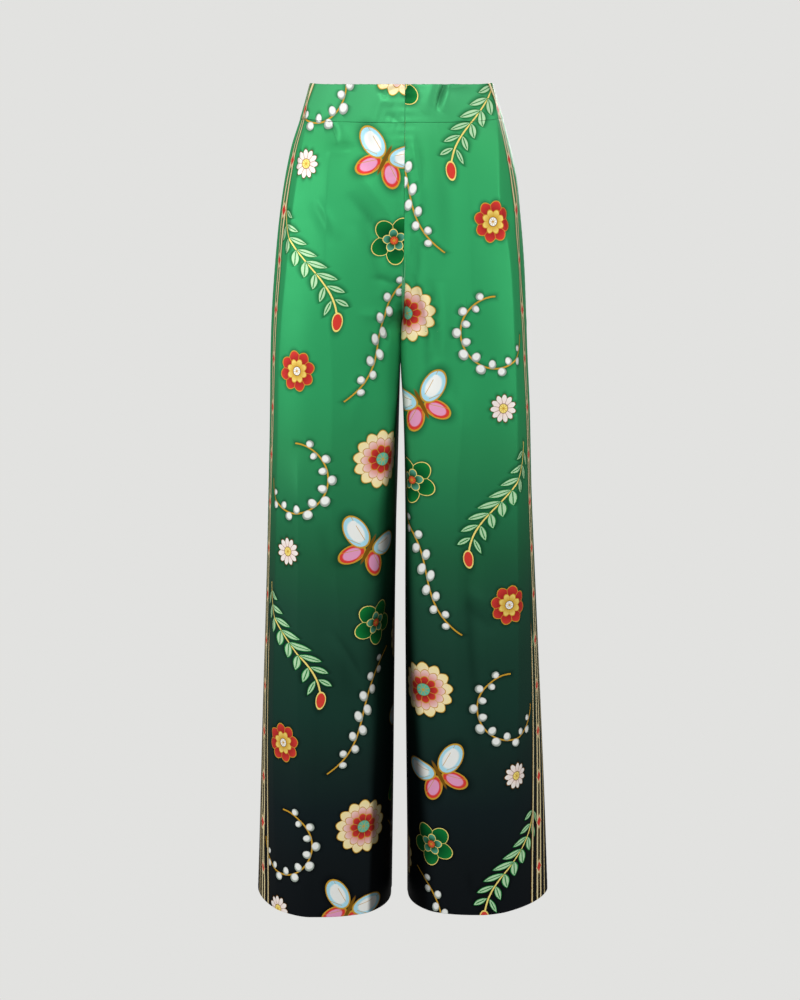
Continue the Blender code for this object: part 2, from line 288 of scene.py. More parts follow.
BACK_RIGHT_CREASES = crease_rows(
    (215, 196, 130, 150, -6, 9, -1.8, 1.6),
    (234, 226, 120, 196, -8, 11, 2, 1.8),
    (252, 262, 140, 270, 8, 9, -2.4, 1.6),
    (262, 284, 160, 330, 8, 10, 2.3, 1.8),
    (268, 300, 196, 400, 6, 9, -2.4, 1.6),
    (100, 600, 170, 690, 6, 8, -1.8, 1.5),
    (110, 630, 180, 730, 6, 10, 1.6, 1.9),
    (220, 840, 176, 960, 4, 11, 1.8, 2),
    (40, 340, 52, 560, 3, 11, -1.4, 2),
)

BACK_LEFT_CREASES = crease_rows(
    (205, 180, 110, 160, -6, 11, 1.8, 1.8),
    (226, 214, 120, 214, -6, 9, -2, 1.6),
    (246, 250, 130, 256, 6, 11, 2.1, 1.8),
    (262, 288, 176, 350, 8, 9, -2.4, 1.6),
    (266, 300, 210, 440, 6, 10, 2.2, 1.8),
    (210, 560, 140, 660, 5, 8, -1.8, 1.5),
    (216, 590, 150, 700, 5, 10, 1.4, 1.9),
    (90, 760, 150, 850, 5, 11, 1.6, 2),
    (36, 620, 50, 860, 3, 11, -1.4, 2),
)

BAND_RIGHT_CREASES = crease_rows(
    (148, -10, 154, 56, 2, 6, 1, 1.4),
    (146, 8, 160, 16, 1, 3, -1.1, 1.4),
    (158, 10, 172, 4, 1, 3, -1.1, 1.4),
    (152, 18, 172, 24, 1, 4.5, 0.8, 1.7),
    (166, 34, 196, 48, 1, 3.5, -1, 1.5),
)
BAND_LEFT_CREASES = crease_rows(
    (104, -14, 143, 32, 1, 4, -4.6, 1.3),
    (96, -16, 134, 32, 1, 7.5, 2.6, 1.4),
    (120, -12, 158, 34, 1, 8, 1.4, 1.6),
    (74, 1, 120, 5, 0, 4.5, -2, 1.6),
    (164, 0, 172, 12, 0, 3.5, -0.9, 1.6),
)

# Small puckers where the thread draws a seam in: how far they reach, their height and length, how much and
# over which lengths they shift and swell, how far below the rise the centre seam has them, how much weaker
# they are at the side seams and at the band's seam, how much closer they are there, and where they start
PUCKER_REACH = 0.011
PUCKER_RISE = 0.00026
PUCKER_LENGTH = 0.0105
PUCKER_SHIFT = 1.4
PUCKER_SHIFT_LENGTH = 0.021
PUCKER_SWELL = 0.4
PUCKER_SWELL_LENGTH = 0.047
PUCKERS_BELOW_RISE = 0.03
SIDE_PUCKERS = 0.5
BAND_PUCKERS = 0.8
BAND_PUCKERS_CLOSER = 1.3
CENTRE_PUCKER_SEED = 0.3
SIDE_PUCKER_SEED = 1.9
BAND_PUCKER_SEED = 0.8

# The slow unevenness of satin that hangs: waves by how high they are, how they run across and down the
# cloth, how they differ from piece to piece, and how they sway on their way down
Wave = namedtuple("Wave", "size across down seed sway sway_down sway_seed")
WAVES = (
    Wave(1.00, 2.3, 0.55, 1.7, 0.0, 0.0, 0.0),
    Wave(0.80, 3.9, -0.35, 2.9, 0.9, 0.8, 1.0),
    Wave(0.60, 1.1, 1.15, 4.1, 0.0, 0.0, 0.0),
    Wave(0.35, 6.3, 0.80, 0.7, 1.3, 1.1, 0.0),
)
WAVE_RISE = 0.00048
WAVE_LENGTH = 0.1

# The gathers of the elastic back waistband: how many, their height, how far down and how fast they run out,
# how far from the side seams they begin, and the slow waves by which they shift and swell along the waist
GATHERS = 27
GATHER_RISE = 0.0016
GATHER_RUN = 0.085
GATHER_FALL = 1.3
GATHER_STARTS = 0.03
SlowWave = namedtuple("SlowWave", "size turns start")
GATHER_SHIFT = SlowWave(1.3, 4.0, 0.6)
GATHER_SWELL = SlowWave(0.25, 9.0, 1.0)

# Where each piece's waves and puckers start
FRONT_SEED = 1.0
BACK_SEED = 4.0
BACK_BAND_SEED = 6.0

# The pressed edges: how far from a seam they are whole, how round they are, over how far they run out, how
# crisply they fall away, how much they ease towards the hem from which drop, and how round the last one is
# as a share of the width of its painted shade
EDGE_FADE = 0.014
EDGE_ROUND = 0.0008
EDGE_RUN_OUT = 0.07
EDGE_CRISP = 1.15
HEM_EASE = 0.75
HEM_EASE_STARTS = 0.78
INNER_ROUND = 0.16

# The painted shade between the legs: how strong it is at first, how far above the rise it starts and over
# how far it comes in, and from which drop and over how far it deepens. The troughs of creases get painted
# shade
# too: they are darkest at DARKEST_DEPTH, and shallow ones are lighter by TROUGH_CONTRAST.
SHADE_HIGH = 0.62
SHADE_ABOVE_RISE = 0.02
SHADE_COMES_IN = 0.06
SHADE_DEEPENS = 0.44
SHADE_DEEPENS_OVER = 0.30
DARKEST_DEPTH = 0.0070
TROUGH_CONTRAST = 1.5

# How far the waistband stands out over the panels
BAND_PROUD = 0.0004

# The grain line's distance from the middle at the waist, and how much further out it runs with the drop
GRAIN_AT_WAIST = 0.068
GRAIN_SPREAD = 0.05

# The leg panels. print_at is where the print's lattice starts on a panel, in centimetres, and flat and area
# are the size and area of the cut piece.
Piece = namedtuple("Piece", "name node side face edges creases print_at flat area")
PANELS = (
    Piece("front_right_panel", "front_right", RIGHT, FRONT, FRONT_RIGHT_EDGES,
          FRONT_RIGHT_CREASES, (10.5, 9.0), (0.345, 1.10), 0.335),
    Piece("front_left_panel", "front_left", LEFT, FRONT, FRONT_LEFT_EDGES,
          FRONT_LEFT_CREASES, (33.5, 3.0), (0.345, 1.10), 0.335),
    Piece("back_right_panel", "back_right", RIGHT, BACK, BACK_RIGHT_EDGES,
          BACK_RIGHT_CREASES, (9.0, 31.0), (0.395, 1.11), 0.370),
    Piece("back_left_panel", "back_left", LEFT, BACK, BACK_LEFT_EDGES,
          BACK_LEFT_CREASES, (31.0, 14.0), (0.395, 1.11), 0.370),
)

# The flat size and the area of the waistband's pieces
FRONT_BAND_CUT = ((0.192, 0.0445), 0.0084)
BACK_BAND_CUT = ((0.460, 0.0445), 0.0204)

# Lights round the trousers: where each stands, by the angle round them from the front and the angle above
# their middle, its distance and size, and how brightly it lights a surface that faces it
Light = namedtuple("Light", "name turn lift distance size share")
LIGHTS = (
    Light("key_light", -80.0, 10.0, 5.0, 2.1, 0.46),
    Light("front_light", -25.0, 10.0, 5.0, 2.1, 0.16),
    Light("side_light", 78.0, 10.0, 5.0, 2.1, 0.36),
    Light("high_light", 0.0, 38.0, 5.5, 2.4, 0.76),
    Light("back_light", 168.0, 18.0, 5.0, 2.6, 0.64),
)
# How far the floor runs each way
FLOOR_REACH = 60.0
# Where the camera stands, how far it looks down, and its lens in millimetres
CAMERA_PLACE = (-0.002, -2.7925, 0.0)
CAMERA_DOWN = 11.15
CAMERA_LENS = 75.96


def smooth(value):
    """Eases a value from 0 to 1, and holds it outside them."""
    value = np.clip(value, 0.0, 1.0)
    return value * value * (3.0 - 2.0 * value)


def curve_through(drops, values, slopes, drop):
    """Values given at drops, read at other drops on a smooth curve through them."""
    row = np.clip(np.searchsorted(drops, drop) - 1, 0, len(drops) - 2)
    span = drops[row + 1] - drops[row]
    t = (drop - drops[row]) / span
    blend = values[row] + (values[row + 1] - values[row]) * t * t * (3.0 - 2.0 * t)
    return blend + span * t * (1.0 - t) * (slopes[row] * (1.0 - t) - slopes[row + 1] * t)


def along(column, drop):
    """A column of RINGS read at a drop."""
    return float(curve_through(DROPS, COLUMNS[column], SLOPES[column], drop))


def down_leg(drop):
    """0 at the crotch and above it, 1 at the hem."""
    return smooth((drop - RISE) / (OUTSEAM - RISE))


class HalfRing:
    """One face of the body or a leg at one drop, as a line from the side seam to its other edge."""

    POINTS = 420

    def __init__(self, side, face, drop, centre_gap=HALF_SEAM_GAP):
        front_left = face == FRONT and side == LEFT
        depth = along("front" if face == FRONT else "back", drop)
        depth -= LEFT_HEM_FLATTER * down_leg(drop) if front_left else 0.0
        crown = along("crown", drop) - (LEFT_HEM_CROWN_IN * down_leg(drop) if front_left else 0.0)
        outer = along("right_side" if side == RIGHT else "left_side", drop)
        gap = max(along("gap", drop), 0.0) if drop > RISE else 0.0
        inner = side * along("middle", drop) + gap + centre_gap
        base = -face * along("inseam", drop) + HALF_SEAM_GAP

        crotch = CROTCH[face]
        under = np.clip((drop - crotch.starts) / (RISE - crotch.starts), 0.0, 1.0)
        end_share = min((1.0 - under**crotch.bend) ** crotch.steepness, HIGHEST_SEAM)
        fullness = INSIDE_FULLNESS[side, face]
        power = 2.0 + (fullness.crotch - 2.0) * smooth(under)
        power += (fullness.hem - fullness.crotch) * down_leg(drop)
        cut = (1.0 - end_share**power) ** (1.0 / power)
        outside = OUTSIDE_FULLNESS
        outside_power = outside.crotch + (outside.hem - outside.crotch) * down_leg(drop)

        turn = np.linspace(0.0, pi / 2, self.POINTS)
        outside_x = crown + (outer - crown) * np.cos(turn) ** (2.0 / outside_power)
        outside_y = HALF_SEAM_GAP + (depth - HALF_SEAM_GAP) * np.sin(turn) ** (2.0 / outside_power)
        turn = np.linspace(0.0, np.arcsin(min(cut ** (power / 2.0), 1.0)), self.POINTS)[1:]
        inside_x = crown - (crown - inner) / cut * np.sin(turn) ** (2.0 / power)
        inside_y = base + (depth - base) * np.maximum(np.cos(turn), 0.0) ** (2.0 / power)
        self.x = np.concatenate([outside_x, inside_x])
        self.y = np.concatenate([outside_y, inside_y])
        self.gone = np.concatenate([[0.0], np.cumsum(np.hypot(np.diff(self.x), np.diff(self.y)))])
        self.width = self.gone[-1]

    def at(self, distances):
        """Points at distances from the side seam, or a little past it."""
        past = np.minimum(distances, 0.0)
        return np.interp(distances, self.gone, self.x), np.interp(distances, self.gone, self.y) + past

    def distance_to(self, x):
        """How far from the side seam the line passes a distance x from the middle."""
        return float(np.interp(-x, -self.x, self.gone))


def grain_line(drop):
    """How far from the middle the straight grain runs at a drop."""
    return GRAIN_AT_WAIST + GRAIN_SPREAD * drop


def unit(vectors):
    """A grid of vectors, each made one long."""
    return vectors / np.maximum(np.linalg.norm(vectors, axis=2, keepdims=True), TINY)


class Cloth:
    """The worn surface of one face: rows at given drops, columns from one seam turning to the other."""

    def __init__(self, side, face, drops, interior, edges=(), centre_sewn=True):
        self.side, self.face, self.drops = side, face, drops
        self.edges, self.centre_sewn = edges, centre_sewn
        rings = [self._ring(drop) for drop in drops]
        self.widths = np.array([ring.width for ring in rings])
        self.distance = self._columns(interior)
        self.from_centre = self.widths[:, None] - self.distance
        self.drop = np.repeat(np.asarray(drops)[:, None], self.distance.shape[1], axis=1)
        far = TURN_DEEP[-2::-1] if centre_sewn else []
        self.deep = np.concatenate([TURN_DEEP[:-1], np.zeros(interior), far])
        self.points = self._place(rings, self.distance, self.drop)
        self.normals = self._normals(rings)
        grain = [ring.distance_to(grain_line(drop)) for ring, drop in zip(rings, drops)]
        self.grain = np.array(grain)[:, None]

    def _ring(self, drop):
        return HalfRing(self.side, self.face, drop, HALF_SEAM_GAP if self.centre_sewn else 0.0)

    def _columns(self, interior):
        """How far from the side seam each row has its points."""
        starts = CROTCH[self.face].starts
        width_at_start, width_at_rise = (self._ring(drop).width for drop in (starts, RISE))
        shares = np.linspace(0.0, 1.0, interior)
        stretches = len(self.edges) + 1
        knots = np.linspace(0.0, 1.0, stretches + 1)
        crowded = shares - COLUMN_CROWDING * np.sin(tau * stretches * shares) / (tau * stretches)
        near = TURN_AWAY[:-1].copy()
        near[BENT_TURN] -= self.face * SIDE_SEAM_BEND
        inset, far_inset = TURN_AWAY[-1], TURN_AWAY[-1] if self.centre_sewn else 0.0
        columns = []
        for drop, width in zip(self.drops, self.widths):
            steady = width
            if starts < drop < RISE:
                under = smooth((drop - starts) / (RISE - starts))
                steady = width_at_start * (1.0 - under) + width_at_rise * under
            lines = [min(float(edge_line(edge, drop)), steady - LAST_STRETCH) for edge in self.edges]
            inside = np.interp(crowded, knots, [0.0, *lines, steady])
            inside += (width - steady) * shares**EDGE_PULL
            inside = inset + inside * (width - inset - far_inset) / width
            far = width - TURN_AWAY[-2::-1] if self.centre_sewn else []
            columns.append(np.concatenate([near, inside, far]))
        return np.array(columns)

    def _normals(self, rings):
        """Which way the cloth faces, from its slopes across and down."""
        lower = [self._ring(drop + STEP) for drop in self.drops]
        ahead = self._place(rings, self.distance + STEP, self.drop)
        behind = self._place(rings, self.distance - STEP, self.drop)
        below = self._place(lower, self.distance, self.drop + STEP)
        return -self.side * self.face * unit(np.cross(ahead - behind, below - self.points))

    def _place(self, rings, distances, drops):
        x, y = np.array([ring.at(row) for ring, row in zip(rings, distances)]).transpose(1, 0, 2)
        share = np.clip(distances / np.array([ring.width for ring in rings])[:, None], 0.0, 1.0)
        dip = 0.0
        if self.face == FRONT:
            fade = 1.0 - smooth((drops - BAND_AT_SIDE) / DIP_RUN_OUT)
            dip = BAND_DIP_AT_FRONT * smooth(share) * np.minimum(drops / BAND_AT_SIDE, 1.0) * fade
        return np.stack([self.side * x, self.face * y, -drops - dip], axis=2)

    def inwards(self):
        """Which way a seam turning goes: into the garment, and never across its own seam."""
        way = -self.normals
        third = way.shape[1] // 3
        way[:, :third, 1] = 0.0
        above = self.drops < RISE
        way[above, -third:, 0] = 0.0
        way[~above, -third:, 1] = 0.0
        return unit(way)


def crease_height(creases, distance, drop):
    """How far a table of creases lifts or sinks the cloth at points of it."""
    total = np.zeros_like(distance)
    for crease in creases:
        run = np.array([crease.to - crease.at, crease.to_drop - crease.drop])
        length = np.hypot(*run)
        run = run / length
        t = ((distance - crease.at) * run[0] + (drop - crease.drop) * run[1]) / length
        across = (distance - crease.at) * run[1] - (drop - crease.drop) * run[0]
        across -= crease.bow * 4.0 * t * (1.0 - t)
        fade = np.sin(pi * np.clip(t, 0.0, 1.0)) ** CREASE_TAPER
        total += crease.rise * fade * np.exp(-((np.abs(across) / crease.reach) ** crease.crisp))
    return total


def edge_line(edge, drop):
    """How far from the side seam a pressed edge runs at drops, on a smooth curve."""
    places, drops = edge.path.T
    held = np.clip(drop, drops[0], drops[-1])
    return curve_through(drops, places, np.gradient(places, drops), held)


def inner_shade(side, face, drop):
    """Where the painted shade between the legs begins on the satin, and where it is darkest, at drops."""
    shade = Shade(*np.array(INNER_SHADE[side, face]).T * MILLIMETRE)
    return np.interp(drop, shade.drop, shade.starts), np.interp(drop, shade.drop, shade.full)


def edge_height(edges, distance, drop, inner_round):
    """How far the pressed edges lift the cloth. The last one is rounded by inner_round."""
    total = np.zeros_like(distance)
    towards_hem = 1.0 - HEM_EASE * smooth((drop - HEM_EASE_STARTS) / (OUTSEAM - HEM_EASE_STARTS))
    for edge in edges:
        rounding = np.maximum(inner_round, EDGE_ROUND) if edge is edges[-1] else EDGE_ROUND
        away = np.abs(distance - edge_line(edge, drop))
        away = np.sqrt(away**2 + rounding**2) - rounding
        shown = smooth((drop - edge.starts) / EDGE_RUN_OUT) * smooth((edge.ends - drop) / EDGE_RUN_OUT)
        total += edge.rise * towards_hem * shown * np.exp(-((away / edge.lean) ** EDGE_CRISP))
    return total


def drift(distance, drop, seed):
    """The slow unevenness of satin that hangs: long soft waves, all a little different."""
    u, v = distance / WAVE_LENGTH, drop / WAVE_LENGTH
    total = np.zeros_like(u)
    for wave in WAVES:
        sway = wave.sway * np.sin(wave.sway_down * v + wave.sway_seed * seed)
        total += wave.size * np.sin(wave.across * u + wave.down * v + wave.seed * seed + sway)
    return WAVE_RISE * total


def puckers(from_edge, run, seed):
    """Small ripples that a row of stitches draws beside a seam."""
    shift = PUCKER_SHIFT * np.sin(run / PUCKER_SHIFT_LENGTH + seed)
    swell = 1.0 - PUCKER_SWELL + PUCKER_SWELL * np.sin(run / PUCKER_SWELL_LENGTH + 2.0 * seed)
    ripple = np.sin(tau * run / PUCKER_LENGTH + seed + shift) * swell
    return PUCKER_RISE * ripple * np.exp(-from_edge / PUCKER_REACH)


def grid_normals(points):
    """Unit normals of a grid of points, by the slopes along its rows and columns."""
    down = np.gradient(points, axis=0)
    along_row = np.gradient(points, axis=1)
    return unit(np.cross(down, along_row))


# Rows of a piece: their drops, how deep they are turned in, how far they are rounded off, and how thick the
# cloth is there
Rows = namedtuple("Rows", "drops deep rolled thick")


def rows_at(drops, thick, deep=0.0, rolled=0.0, sign=1):
    """Rows at drops, in the other order where sign is negative."""
    return Rows(*(column[::sign] for column in np.broadcast_arrays(drops, deep, rolled, thick)))


def seam_rows(start, sign, thick):
    """Rows that turn inwards at a sewn edge, from the edge in the direction of sign."""
    return rows_at(start + sign * TURN_AWAY, thick, deep=TURN_DEEP, sign=sign)


def rolled_rows(edge, sign, thick):
    """Rows that round a folded edge, so that the two layers meet in a half circle."""
    turns = np.radians(np.linspace(FOLD_TURN, 0.0, FOLD_STEPS))
    radius = thick / 2.0
    drops = edge + sign * radius * (1.0 - np.sin(turns))
    return rows_at(drops, thick * np.cos(turns), rolled=radius * (1.0 - np.cos(turns)), sign=sign)


def plain_rows(start, end, spacing, thick):
    """Evenly spaced rows between two others, which it leaves out."""
    count = max(int(round((end - start) / spacing)), 2)
    return rows_at(np.linspace(start, end, count + 1)[1:-1], thick)


def joined(*parts):
    """Runs of rows put one after the other."""
    return Rows(*(np.concatenate(columns) for columns in zip(*parts)))


def panel_rows(cloth):
    """The rows of a leg panel: sewn at the waist, folded to a hem at the bottom."""
    thick = cloth.thickness
    top = seam_rows(BAND_AT_SIDE + HALF_SEAM_GAP, 1, thick)
    fold = rolled_rows(OUTSEAM, -1, 2.0 * thick)
    below_crotch, turned = RISE + FINE_BELOW_RISE, OUTSEAM - cloth.hem_depth
    above_turned = turned - MILLIMETRE
    return joined(
        top,
        plain_rows(top.drops[-1], below_crotch, FINE_ROWS, thick),
        rows_at([below_crotch], thick),
        plain_rows(below_crotch, above_turned, LEG_ROWS, thick),
        rows_at([above_turned], thick),
        rows_at([turned], 2.0 * thick),
        plain_rows(turned, fold.drops[0], FINE_ROWS, 2.0 * thick),
        fold,
    )


def band_rows(cloth):
    """The rows of the waistband: folded at the top edge, sewn at the bottom."""
    thick = cloth.band_thickness
    fold = rolled_rows(0.0, 1, thick)
    bottom = seam_rows(BAND_AT_SIDE - HALF_SEAM_GAP, -1, thick)
    return joined(fold, plain_rows(fold.drops[-1], bottom.drops[0], BAND_ROWS, thick), bottom)


def slow_wave(wave, place):
    return wave.size * np.sin(wave.turns * place + wave.start)


def gathers(side, from_side, width, drop):
    """The fullness that elastic draws in at the back of the waist."""
    from_middle = side * (1.0 - from_side / width)
    wave = np.sin(pi * GATHERS * from_middle + slow_wave(GATHER_SHIFT, from_middle))
    wave = wave * (1.0 - GATHER_SWELL.size + slow_wave(GATHER_SWELL, from_middle))
    below = np.maximum(drop - BAND_AT_SIDE, 0.0) / GATHER_RUN
    return GATHER_RISE * np.exp(-(below**GATHER_FALL)) * wave * smooth(from_side / GATHER_STARTS)


def crotch_fade(drop):
    """How much of a seam's turning is left beside the point where four seams meet."""
    return 1.0 - CROTCH_FADE * np.exp(-(((drop - RISE) / CROTCH_FADE_RUN) ** 2))


def seam_puckers(cloth):
    """The puckers along the side seam, the waistband's seam and the centre seam of a face."""
    total = puckers(cloth.distance, cloth.drop, SIDE_PUCKER_SEED * cloth.side) * SIDE_PUCKERS
    from_band = np.abs(cloth.drop - BAND_AT_SIDE)
    band_seed = BAND_PUCKER_SEED + cloth.side + 2.0 * cloth.face
    total += puckers(from_band, cloth.distance * BAND_PUCKERS_CLOSER, band_seed) * BAND_PUCKERS
    if cloth.centre_sewn:
        at_centre = puckers(cloth.from_centre, cloth.drop, CENTRE_PUCKER_SEED)
        total += at_centre * (cloth.drop < RISE + PUCKERS_BELOW_RISE)
    return total


def trough_shade(creases, distance, drop, crease_depth):
    """Painted shade in the troughs of the creases: how much the satin is darkened there, from 0 to 1."""
    troughs = [crease for crease in creases if crease.rise < 0.0]
    depth = -crease_height(troughs, distance, drop) * crease_depth
    return np.clip(depth / DARKEST_DEPTH, 0.0, 1.0) ** TROUGH_CONTRAST


def leg_shade(distance, drop, starts, full):
    """Painted shade where the legs face each other: how much the satin is darkened there, from 0 to 1."""
    begun = smooth((drop - RISE + SHADE_ABOVE_RISE) / SHADE_COMES_IN)
    deeper = smooth((drop - SHADE_DEEPENS) / SHADE_DEEPENS_OVER)
    strength = begun * (SHADE_HIGH + (1.0 - SHADE_HIGH) * deeper)
    return smooth((distance - starts) / (full - starts)) * strength


class Worn:
    """One face of the cloth with its creases, puckers, gathers, turned edges and painted shade."""

    def __init__(self, side, face, rows, edges, creases, settings, seed, band=False, centre_sewn=True):
        interior = BAND_COLUMNS if band else PANEL_COLUMNS
        cloth = Cloth(side, face, rows.drops, interior, () if band else edges, centre_sewn)
        from_side, drop = cloth.distance, cloth.drop
        starts, full = inner_shade(side, face, drop)
        edged = edge_height(edges, from_side, drop, 0.0 if band else (full - starts) * INNER_ROUND)
        height = crease_height(creases, from_side, drop) * settings.crease_depth
        height += (edged + drift(from_side, drop, seed)) * settings.edge_depth
        from_seam = np.minimum(from_side, cloth.from_centre) if centre_sewn else from_side
        height *= smooth(from_seam / EDGE_FADE)
        height += seam_puckers(cloth)
        if face == BACK:
            height += gathers(side, from_side, cloth.widths[:, None], drop)
        if band:
            height += BAND_PROUD
        turning = rows.deep[:, None] + cloth.deep[None, :] * crotch_fade(drop)
        self.skin = cloth.points + cloth.normals * height[..., None]
        self.skin += cloth.inwards() * turning[..., None]

        columns = from_side.shape[1]
        outwards = np.where(np.arange(columns) < columns // 2, -1.0, 1.0)
        across = from_side + outwards * cloth.deep
        down = drop + (1.0 if band else -1.0) * rows.deep[:, None]
        self.cut = np.stack([across, down], axis=2)
        self.print = np.stack([side * face * (across - cloth.grain), down], axis=2)
        # Painted shade: how much darker the satin is made in crease troughs and where the legs face each
        # other
        self.shade = trough_shade(creases, from_side, drop, settings.crease_depth)
        if edges and not band:
            self.shade = np.maximum(self.shade, leg_shade(across, drop, starts, full))


# shade is the painted shade of the crease troughs and of the legs where they face each other
GRIDS = ("skin", "cut", "print", "shade")


class Surface:
    """Grids of points and map places of a closed thin shell, from one face or from two in a row."""

    def __init__(self, faces, rows, flip):
        skin, self.cut, self.print, self.shade = (
            np.concatenate([getattr(face, name) for face in faces], axis=1) for name in GRIDS
        )
        self.flip = flip
        normals = grid_normals(skin) * (-1.0 if flip else 1.0)
        rolled, thick = rows.rolled[:, None, None], rows.thick[:, None, None]
        self.outer = skin - normals * rolled
        self.inner = skin - normals * (rolled + thick)


def whole_back_band(rows, settings):
    """The back waistband, which runs from side seam to side seam in one piece."""
    right, left = (
        Worn(side, BACK, rows, (), (), settings, BACK_BAND_SEED, band=True, centre_sewn=False)
        for side in (RIGHT, LEFT)
    )
    for name in GRIDS:
        setattr(left, name, getattr(left, name)[:, -2::-1])
    return Surface([right, left], rows, flip=True)


def quads(rows, columns, start, flip):
    """The faces of a grid of points."""
    index = start + np.arange(rows * columns).reshape(rows, columns)
    faces = np.stack([index[:-1, :-1], index[1:, :-1], index[1:, 1:], index[:-1, 1:]], axis=2)
    faces = faces.reshape(-1, 4)
    return faces[:, ::-1] if flip else faces


def shell_mesh(name, surface):
    """A closed shell from a Surface, with its cut, print and bake maps, and its two finishes."""
    rows, columns = surface.outer.shape[:2]
    count = rows * columns
    points = np.concatenate([surface.outer.reshape(-1, 3), surface.inner.reshape(-1, 3)])
    index = np.arange(count).reshape(rows, columns)
    border = np.concatenate([index[0, :-1], index[:-1, -1], index[-1, :0:-1], index[:0:-1, 0]])
    after = np.roll(border, -1)
    rim = np.stack([border, after, after + count, border + count], axis=1)
    if surface.flip:
        rim = rim[:, ::-1]
    faces = np.concatenate([
        quads(rows, columns, 0, surface.flip),
        quads(rows, columns, count, not surface.flip),
        rim,
    ])
    mesh = bpy.data.meshes.new(name)
    mesh.from_pydata(points.tolist(), [], faces.tolist())
    mesh.update()
    loops = np.empty(len(mesh.loops), dtype=np.int32)
    mesh.loops.foreach_get("vertex_index", loops)
    face_count = (rows - 1) * (columns - 1)
    layer = np.repeat(np.repeat([0, 1], face_count), 4)
    layer = np.concatenate([layer, np.full(len(rim) * 4, 2)])
    # The painted shade of the folds and between the legs, kept on the points for the satin to read
    shade = mesh.attributes.new("fold_shade", "FLOAT", "POINT")
    shade.data.foreach_set("value", np.tile(surface.shade.ravel(), 2))
    for title, grid in (("cut", surface.cut), ("print", surface.print)):
        places = np.concatenate([grid.reshape(-1, 2)] * 2)[loops]
        mesh.uv_layers.new(name=title).data.foreach_set("uv", places.ravel())
    mesh.uv_layers.new(name="OFBake").data.foreach_set(
        "uv", bake_places(rows, columns, loops, layer).ravel()
    )
    mesh.uv_layers.active = mesh.uv_layers["cut"]
    finish = np.zeros(len(mesh.polygons), dtype=np.int32)
    finish[face_count:2 * face_count] = 1
    mesh.polygons.foreach_set("material_index", finish)
    mesh.polygons.foreach_set("use_smooth", np.ones(len(mesh.polygons), dtype=bool))
    mesh.validate()
    return mesh


# Strips of the bake map, as start and width: two for the face of the cloth, and two for its reverse. The
# rim's faces lie in a row below them, each as wide as RIM_FILL of its step.
BAKE_STRIPS = (((0.01, 0.36), (0.39, 0.36)), ((0.77, 0.095), (0.875, 0.095)))
BAKE_MARGIN = 0.015
RIM_START = 0.01
RIM_LENGTH = 0.97
RIM_WIDTH = 0.004
RIM_FILL = 0.8


def bake_places(rows, columns, loops, layer):
    """Places for baking: the face of the cloth in two wide columns, the reverse in two narrow ones, and the
    rim in a strip below them."""
    count = rows * columns
    row, column = (loops % count) // columns, (loops % count) % columns
    middle = rows // 2
    low = row.reshape(-1, 4).min(axis=1).repeat(4) >= middle
    across = column / (columns - 1)
    down = np.where(low, (row - middle) / (rows - 1 - middle), row / middle)
    places = np.empty((len(loops), 2))
    for side, strips in enumerate(BAKE_STRIPS):
        for half, (start, width) in enumerate(strips):
            chosen = (layer == side) & (low == bool(half))
            places[chosen, 0] = start + width * across[chosen]
            places[chosen, 1] = BAKE_MARGIN + (1.0 - 2.0 * BAKE_MARGIN) * (1.0 - down[chosen])
    rim = layer == 2
    steps = np.arange(rim.sum() // 4) / (rim.sum() // 4)
    corners = np.array([[0, 0], [1, 0], [1, 1], [0, 1]]) * [RIM_FILL * steps[1], RIM_WIDTH]
    starts = np.stack([steps, np.zeros(len(steps))], axis=1)
    places[rim] = (RIM_START + (starts[:, None, :] + corners) * [RIM_LENGTH, 1.0]).reshape(-1, 2)
    return places


class Wire:
    """A value in a shader. Arithmetic on it adds Math nodes."""

    def __init__(self, finish, socket):
        self.finish, self.socket = finish, socket

    def math(self, operation, *others, clamp=False):
        return self.finish.math(operation, self, *others, clamp=clamp)

    __add__ = __radd__ = partialmethod(math, "ADD")
    __sub__ = partialmethod(math, "SUBTRACT")
    __mul__ = __rmul__ = partialmethod(math, "MULTIPLY")
    __truediv__ = partialmethod(math, "DIVIDE")
    __abs__ = partialmethod(math, "ABSOLUTE")
    sin = partialmethod(math, "SINE")
    cos = partialmethod(math, "COSINE")
    floor = partialmethod(math, "FLOOR")
    least = partialmethod(math, "MINIMUM")
    most = partialmethod(math, "MAXIMUM")

    def __rsub__(self, other):
        return self.finish.math("SUBTRACT", other, self)

    def held(self):
        """The value kept from 0 to 1."""
        return self.math("ADD", 0.0, clamp=True)

    def inside(self, soft):
        """1 where a signed distance is below zero, with a soft edge."""
        return self.math("MULTIPLY_ADD", -1.0 / soft, 0.5, clamp=True)

    def hypot(self, other):
        return (self * self + other * other).math("SQRT")


